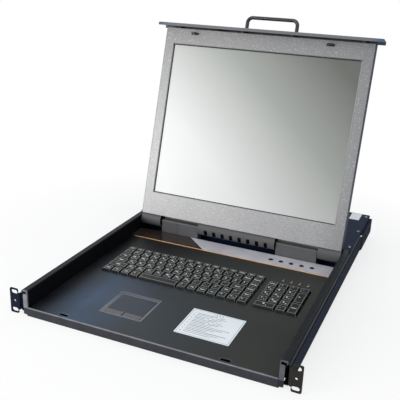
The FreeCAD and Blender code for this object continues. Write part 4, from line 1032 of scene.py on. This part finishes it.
def turned_cap(centre, radius, low_z, high_z):
    """Round cap with a rounded shoulder and a shallow dish."""
    cap = disc("cap", Vector((centre.x, centre.y, (low_z + high_z) / 2)), radius, high_z - low_z, 28)
    pick_faces(cap, lambda place, normal: normal.z > 0.9)
    sunk(radius * 0.28, (0, 0, -0.25 * MM))
    return eased(cap, 0.22 * MM, 2, 25.0)


def button_rim(centre, radius):
    """Thin round ring about a push button's cap."""
    deselect()
    bpy.ops.mesh.primitive_torus_add(location=centre, major_radius=radius + 0.35 * MM,
                                     minor_radius=0.28 * MM, major_segments=36, minor_segments=8)
    rim = settle(bpy.context.object, "rim")
    bpy.ops.object.shade_smooth()
    return rim


class DRAWER_OT_strip_buttons(bpy.types.Operator):
    """Turn the dished caps of the strip's push buttons and their rims"""

    bl_idname = "drawer.strip_buttons"
    bl_label = "Strip buttons"

    def execute(self, context):
        flange_height, flange_lap = 1.8 * MM, 0.9 * MM
        rim_paint = moulded_plastic("rim_plastic", (0.028, 0.028, 0.030), 0.25, 1400.0, 0.1, 0.5)
        film_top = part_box("panel_silver_film")[1].z
        rims = []
        for node, body in STRIP_BUTTONS.items():
            low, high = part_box(node)
            middle = (low + high) / 2
            radius = (high.x - low.x) / 2
            foot = (middle.x, middle.y, low.z + flange_height / 2)
            flange = disc("flange", foot, radius, flange_height, 28)
            cap = turned_cap(middle, radius - flange_lap, low.z + 1.0 * MM, high.z)
            button = joined(node + "_cap", [cap, eased(flange, 0.2 * MM, 1)])
            dressed(button, FINISH["button_plastic"], body, [node])
            rims.append(button_rim((middle.x, middle.y, film_top), radius - flange_lap))
        dressed(joined("strip_button_rims", rims), rim_paint, "drawer")
        return {"FINISHED"}


class DRAWER_OT_cover_seam(bpy.types.Operator):
    """Set a dark strip in the joint down the left hinge cover, standing in for the shade in its groove"""

    bl_idname = "drawer.cover_seam"
    bl_label = "Cover seam"

    def execute(self, context):
        from_left, half_width, below_top = 34.5 * MM, 0.42 * MM, 3.2 * MM
        low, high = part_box("left_hinge_cover")
        middle = low.x + from_left
        # Painted shade: a black strip in the joint's groove.
        seam = block("cover_seam_shade", (middle - half_width, low.y + 0.12 * MM, low.z),
                     (middle + half_width, low.y + 0.6 * MM, high.z - below_top))
        dressed(eased(seam, 0.1 * MM, 1), FINISH["painted_shade_black"], "drawer")
        return {"FINISHED"}


class DRAWER_OT_tail_lips(bpy.types.Operator):
    """Fold the stiffening lips inwards along the rear tails of the rack brackets"""

    bl_idname = "drawer.tail_lips"
    bl_label = "Tail lips"

    def execute(self, context):
        lip_width, under, over, nose = 10 * MM, 14.2 * MM, 15.6 * MM, 0.8 * MM
        for side, out in (("left", -1), ("right", 1)):
            node = side + "_rack_bracket"
            rail_low, rail_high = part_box(side + "_outer_rail")
            wall = (rail_high.x if out > 0 else rail_low.x) + out * 4.2 * MM
            inner = wall - out * lip_width
            front, back = rail_high.y + 6 * MM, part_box(node)[1].y - 1 * MM
            lip = block(node + "_lip", (min(inner, wall), front, under), (max(inner, wall), back, over))
            pick_faces(lip, lambda centre, normal: normal.x * out < -0.9)
            bpy.ops.mesh.extrude_region_move(TRANSFORM_OT_translate={"value": (-out * nose, 0, 0)})
            bpy.ops.transform.resize(value=(1, 0.96, 1), center_override=(inner, (front + back) / 2, under))
            leave()
            dressed(eased(lip, 0.3 * MM, 2), FINISH["bracket_coat"], "rack_mount")
        return {"FINISHED"}


class DRAWER_OT_blank_sticker(bpy.types.Operator):
    """Stick the small blank sticker on the rear box"""

    bl_idname = "drawer.blank_sticker"
    bl_label = "Blank sticker"

    def execute(self, context):
        width, length, thickness = 21 * MM, 38 * MM, 0.15 * MM
        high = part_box("rear_cover")[1]
        right, back = high.x - 16.5 * MM, high.y - 2 * MM
        sticker = block("blank_sticker", (right - width, back - length, high.z),
                        (right, back, high.z + thickness))
        pick_faces(sticker, lambda centre, normal: normal.z > 0.9)
        bpy.ops.mesh.inset(thickness=0.4 * MM)
        leave()
        dressed(eased(sticker, 0.06 * MM, 1), FINISH["card_film"], "drawer")
        return {"FINISHED"}


def pan_screw():
    """Pan-head screw with a crossed recess, standing on the origin and pointing up."""
    height, floor = 1.8 * MM, 0.8 * MM
    radius = sizes().screw_radius
    head = disc("pan_screw", Vector((0, 0, height / 2)), radius, height, sizes().screw_sides)
    pick_faces(head, lambda centre, normal: normal.z > 0.9)
    bpy.ops.transform.resize(value=(0.62, 0.62, 1), center_override=(0, 0, height))
    leave()
    arm, half = radius * 0.55, 0.42 * MM
    above = 3 * MM
    cross = joined("cross", [block("arm", (-arm, -half, floor), (arm, half, above)),
                             block("arm", (-half, -arm, floor), (half, arm, above))])
    take(head)
    recess = head.modifiers.new("recess", "BOOLEAN")
    recess.operation = "DIFFERENCE"
    recess.use_self = True
    recess.object = cross
    bpy.ops.object.modifier_apply(modifier=recess.name)
    bpy.data.objects.remove(cross)
    return eased(head, 0.18 * MM, 1, 35.0)


def screws_at(name, places, normal):
    """Copies of the screw at (x, y, z) places, their heads pointing along a direction."""
    screw = pan_screw()
    turn = normal.to_track_quat("Z", "Y").to_matrix().to_4x4()
    heads = []
    for index, place in enumerate(places):
        spin = Matrix.Rotation(0.5 * index, 4, "Z")
        heads.append(copied(screw, Matrix.Translation(place) @ turn @ spin))
    bpy.data.objects.remove(screw)
    return joined(name, heads)


class DRAWER_OT_screws(bpy.types.Operator):
    """Put in the pan-head screws of the lid, the rear box and the rear panel"""

    bl_idname = "drawer.screws"
    bl_label = "Screws"

    def execute(self, context):
        steel, up = FINISH["screw_steel"], Vector((0, 0, 1))
        low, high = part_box("rear_cover")
        places = [Vector((x, y, high.z)) for x in (low.x + 6 * MM, high.x - 6 * MM)
                  for y in (low.y + 18 * MM, (low.y + high.y) / 2, high.y - 14 * MM)]
        dressed(screws_at("cover_screws", places, up), steel, "drawer")
        low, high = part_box("rear_panel")
        places = [Vector((x, high.y, z)) for x in (low.x + 7 * MM, high.x - 7 * MM)
                  for z in (low.z + 8 * MM, high.z - 8 * MM)]
        dressed(screws_at("panel_screws", places, Vector((0, 1, 0))), steel, "drawer")
        low, high = shut_box("lid_back_shell")
        places = [Vector((x, low.y + share * (high.y - low.y), high.z))
                  for x in (low.x + 14 * MM, high.x - 14 * MM) for share in (0.05, 0.33, 0.61, 0.86)]
        dressed(stand_open(screws_at("lid_back_screws", places, up)), steel, "lid")
        return {"FINISHED"}


def video_shell(low, high):
    """The shells of all the sockets, with the video socket's face sunk inside its rim."""
    shells = softened("rear_connectors", 0.25 * MM)
    pick_faces(shells, lambda centre, normal: normal.y > 0.9 and centre.y > high.y - 0.05 * MM)
    sunk(0.8 * MM, (0, -0.6 * MM, 0))
    bpy.ops.object.shade_smooth_by_angle(angle=math.radians(40))
    dressed(shells, FINISH["connector_steel"], "drawer", ["rear_connectors"])


def video_insert(middle):
    """Insert of the video socket, with three rows of five contacts, and its two threaded posts."""
    half_width, half_height = 6.6 * MM, 2.9 * MM
    column_pitch, row_pitch, row_shift = 2.3 * MM, 1.9 * MM, 0.55 * MM
    plastic = moulded_plastic("insert_plastic", (0.02, 0.03, 0.09), 0.4)
    face = block("video_insert", middle - Vector((half_width, 0.3 * MM, half_height)),
                 middle + Vector((half_width, 0.2 * MM, half_height)))
    dressed(eased(face, 0.4 * MM, 2), plastic, "drawer")
    holes = []
    for row in (-1, 0, 1):
        for column in range(-2, 3):
            place = Vector((column * column_pitch + row * row_shift, 0.16 * MM, row * row_pitch))
            holes.append(disc("hole", middle + place, 0.55 * MM, 0.2 * MM, 10, "Y"))
    # The contact holes are black discs: painted shade in the holes.
    dressed(joined("video_contacts", holes), FINISH["painted_shade_black"], "drawer")
    length = 4.4 * MM
    posts = []
    for side in (-1, 1):
        centre = (middle.x + side * 12.4 * MM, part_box("rear_panel")[1].y + length / 2, middle.z)
        post = disc("post", centre, 2.7 * MM, length, 6, "Y")
        pick_faces(post, lambda place, normal: normal.y > 0.9)
        sunk(1.1 * MM, (0, -2.5 * MM, 0))
        posts.append(eased(post, 0.2 * MM, 1))
    dressed(joined("video_posts", posts), FINISH["screw_steel"], "drawer")


def round_inserts(middles):
    """Inserts of the round ports, each with six contacts in a ring and a flat key slot."""
    contact_ring, depth = 1.8 * MM, 6.0 * MM
    half_slot = Vector((0.9 * MM, 0.05 * MM, 0.5 * MM))
    inserts, holes = [], []
    for middle in middles:
        insert = disc("insert", middle - Vector((0, 4.0 * MM, 0)), 2.9 * MM, depth, 24, "Y")
        inserts.append(eased(insert, 0.25 * MM, 2))
        face = middle - Vector((0, 0.98 * MM, 0))
        for index in range(6):
            angle = math.radians(60 * index + 30)
            reach = Vector((math.cos(angle), 0, math.sin(angle))) * contact_ring
            holes.append(disc("hole", face + reach, 0.42 * MM, 0.1 * MM, 10, "Y"))
        holes.append(block("key", face - half_slot, face + half_slot))
    dressed(joined("round_port_inserts", inserts), FINISH["inlet_plastic"], "drawer")
    # The contact holes and key slots are black discs and blocks: painted shade in the holes.
    dressed(joined("round_port_holes", holes), FINISH["painted_shade_black"], "drawer")


def inlet_blades():
    """The three flat blades inside the mains inlet."""
    brass = rolled_steel("contact_brass", (0.70, 0.52, 0.22), 0.25, (1, 1, 1))
    low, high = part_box("power_inlet")
    half_width, half_height, root, tip = 1.1 * MM, 2.1 * MM, high.y - 18 * MM, high.y - 8.8 * MM
    blades = []
    for across, up in ((-7 * MM, -1 * MM), (0, 3 * MM), (7 * MM, -1 * MM)):
        x, z = (low.x + high.x) / 2 + across, (low.z + high.z) / 2 + up
        blades.append(block("blade", (x - half_width, root, z - half_height),
                            (x + half_width, tip, z + half_height)))
    dressed(eased(joined("inlet_blades", blades), 0.2 * MM, 1), brass, "drawer")


class DRAWER_OT_rear_sockets(bpy.types.Operator):
    """Fit the inserts, contacts, blades and posts of the sockets at the back"""

    bl_idname = "drawer.rear_sockets"
    bl_label = "Rear sockets"

    def execute(self, context):
        (low, high), *rounds = islands("rear_connectors")
        video_shell(low, high)
        video_insert(Vector(((low.x + high.x) / 2, high.y - 0.5 * MM, high.z - 5.5 * MM)))
        round_inserts([Vector(((low.x + high.x) / 2, high.y, high.z - 7.0 * MM)) for low, high in rounds])
        inlet_blades()
        return {"FINISHED"}


class DRAWER_OT_ball_cages(bpy.types.Operator):
    """Put smooth balls over the ball cages' flat-sided ones"""

    bl_idname = "drawer.ball_cages"
    bl_label = "Ball cages"

    def execute(self, context):
        ball_radius, longest_ball = 1.6 * MM, 10 * MM
        deselect()
        bpy.ops.mesh.primitive_uv_sphere_add(segments=20, ring_count=12, radius=ball_radius)
        ball = settle(bpy.context.object, "ball")
        bpy.ops.object.shade_smooth()
        steel = rolled_steel("ball_steel", (0.75, 0.75, 0.76), 0.12, (1, 1, 1))
        for node, body in (("outer_ball_cages", "outer_cages"), ("inner_ball_cages", "inner_cages")):
            balls = [copied(ball, Matrix.Translation((low + high) / 2)) for low, high in islands(node)
                     if high.y - low.y < longest_ball]
            dressed(joined(node + "_balls", balls), steel, body)
        bpy.data.objects.remove(ball)
        return {"FINISHED"}


# ---------------------------------------------------------------- stage
def floor_finish():
    """Pale floor that keeps the object's shadow and fades into white away from it."""
    material = new_material("pale_floor", (0.93, 0.93, 0.93), 0.8, shine=0.15)
    nodes, links, shader = node_tools(material)
    reach = reach_from(material, (0, (cad_box[0][1] + cad_box[1][1]) / 2, cad_box[0][2]))
    fade = level(material, reach, 0.30, 0.62, 0.72, 1.0)
    seen = nodes.new("ShaderNodeLightPath").outputs["Is Camera Ray"]
    white = nodes.new("ShaderNodeEmission").outputs["Emission"]
    glow = product(material, fade, seen)
    surface = shaders_mixed(material.node_tree, glow, shader.outputs["BSDF"], white)
    links.new(surface, nodes["Material Output"].inputs["Surface"])
    return material


def studio_world():
    """Soft pale sky that the camera and the object's gloss see as white."""
    world = bpy.data.worlds.new("studio")
    bpy.context.scene.world = world
    world.use_nodes = True
    tree = world.node_tree
    sky = tree.nodes["Background"]
    sky.inputs["Color"].default_value = (0.90, 0.94, 1.0, 1)
    sky.inputs["Strength"].default_value = 0.45
    white = tree.nodes.new("ShaderNodeBackground")
    white.inputs["Color"].default_value = (1, 1, 1, 1)
    path = tree.nodes.new("ShaderNodeLightPath").outputs
    seen = maths(tree, "MAXIMUM", path["Is Camera Ray"], path["Is Glossy Ray"])
    surface = shaders_mixed(tree, seen, sky.outputs["Background"], white.outputs["Background"])
    tree.links.new(surface, tree.nodes["World Output"].inputs["Surface"])


def soft_lamp(name, place, width, power, tint):
    """Square softbox that faces the middle of the object."""
    deselect()
    bpy.ops.object.light_add(type="AREA", location=place)
    lamp = bpy.context.object
    lamp.name = name
    lamp.data.size = width
    lamp.data.energy = power
    lamp.data.color = tint
    middle = (Vector(cad_box[0]) + Vector(cad_box[1])) / 2
    lamp.rotation_euler = (middle - Vector(place)).to_track_quat("-Z", "Y").to_euler()


def place_camera():
    """Camera in front of the drawer at its right, looking down at it."""
    yaw, pitch, roll = -0.4013, 0.3524, 0.0383
    forward = Vector((math.sin(yaw) * math.cos(pitch), math.cos(yaw) * math.cos(pitch), -math.sin(pitch)))
    right = Vector((math.cos(yaw), -math.sin(yaw), 0))
    up = right.cross(forward)
    level_right = math.cos(roll) * right + math.sin(roll) * up
    level_up = -math.sin(roll) * right + math.cos(roll) * up
    deselect()
    bpy.ops.object.camera_add(location=(0.3924, -0.7300, 0.5202))
    camera = bpy.context.object
    turn = Matrix((level_right, level_up, -forward)).transposed()
    camera.rotation_euler = turn.to_euler()
    camera.data.lens = 58.416
    camera.data.sensor_width = 36.0
    camera.data.clip_start = 0.01
    camera.data.clip_end = 60.0
    bpy.context.scene.camera = camera


class DRAWER_OT_stage(bpy.types.Operator):
    """Set the pale floor, the soft light and the camera"""

    bl_idname = "drawer.stage"
    bl_label = "Stage"

    def execute(self, context):
        deselect()
        bpy.ops.mesh.primitive_plane_add(size=40, location=(0, 0, cad_box[0][2]))
        floor = settle(bpy.context.object, "floor")
        floor.data.materials.append(floor_finish())
        soft_lamp("key_light", (-0.95, -1.05, 0.55), 0.9, 16.0, (1.0, 0.99, 0.97))
        soft_lamp("fill_light", (1.6, -1.0, 1.6), 1.6, 6.0, (0.95, 0.97, 1.0))
        soft_lamp("top_light", (0.3, -0.1, 1.7), 1.2, 7.0, (1.0, 1.0, 1.0))
        soft_lamp("back_light", (-0.6, 1.8, 1.5), 1.6, 7.0, (0.95, 0.97, 1.0))
        studio_world()
        bpy.context.scene.view_settings.view_transform = "Standard"
        place_camera()
        return {"FINISHED"}


# ---------------------------------------------------------------- panel and run
class DRAWER_PT_panel(bpy.types.Panel):
    """Lists the pieces of the console drawer"""

    bl_idname = "DRAWER_PT_panel"
    bl_label = "Console Drawer"
    bl_space_type = "VIEW_3D"
    bl_region_type = "UI"
    bl_category = "Console Drawer"

    def draw(self, context):
        for operator in OPERATORS:
            self.layout.operator(operator.bl_idname)
        for group in (context.scene.drawer_sizes, context.scene.drawer_finishes):
            column = self.layout.column()
            for name in group.bl_rna.properties.keys():
                if name not in ("rna_type", "name"):
                    column.prop(group, name)


OPERATORS = (
    DRAWER_OT_finish_frame,
    DRAWER_OT_key_caps,
    DRAWER_OT_key_legends,
    DRAWER_OT_card_print,
    DRAWER_OT_deck_print,
    DRAWER_OT_eased_sheet,
    DRAWER_OT_display_shade_strip,
    DRAWER_OT_strip_buttons,
    DRAWER_OT_cover_seam,
    DRAWER_OT_tail_lips,
    DRAWER_OT_blank_sticker,
    DRAWER_OT_screws,
    DRAWER_OT_rear_sockets,
    DRAWER_OT_ball_cages,
    DRAWER_OT_stage,
)
CLASSES = (DrawerFinishSettings, DrawerSizeSettings, *OPERATORS, DRAWER_PT_panel)


def register():
    for item in CLASSES:
        bpy.utils.register_class(item)
    bpy.types.Scene.drawer_finishes = PointerProperty(type=DrawerFinishSettings)
    bpy.types.Scene.drawer_sizes = PointerProperty(type=DrawerSizeSettings)


def unregister():
    del bpy.types.Scene.drawer_sizes
    del bpy.types.Scene.drawer_finishes
    for item in reversed(CLASSES):
        bpy.utils.unregister_class(item)


def main():
    register()
    for operator in OPERATORS:
        group, name = operator.bl_idname.split(".")
        getattr(getattr(bpy.ops, group), name)()


if __name__ == "__main__":
    main()
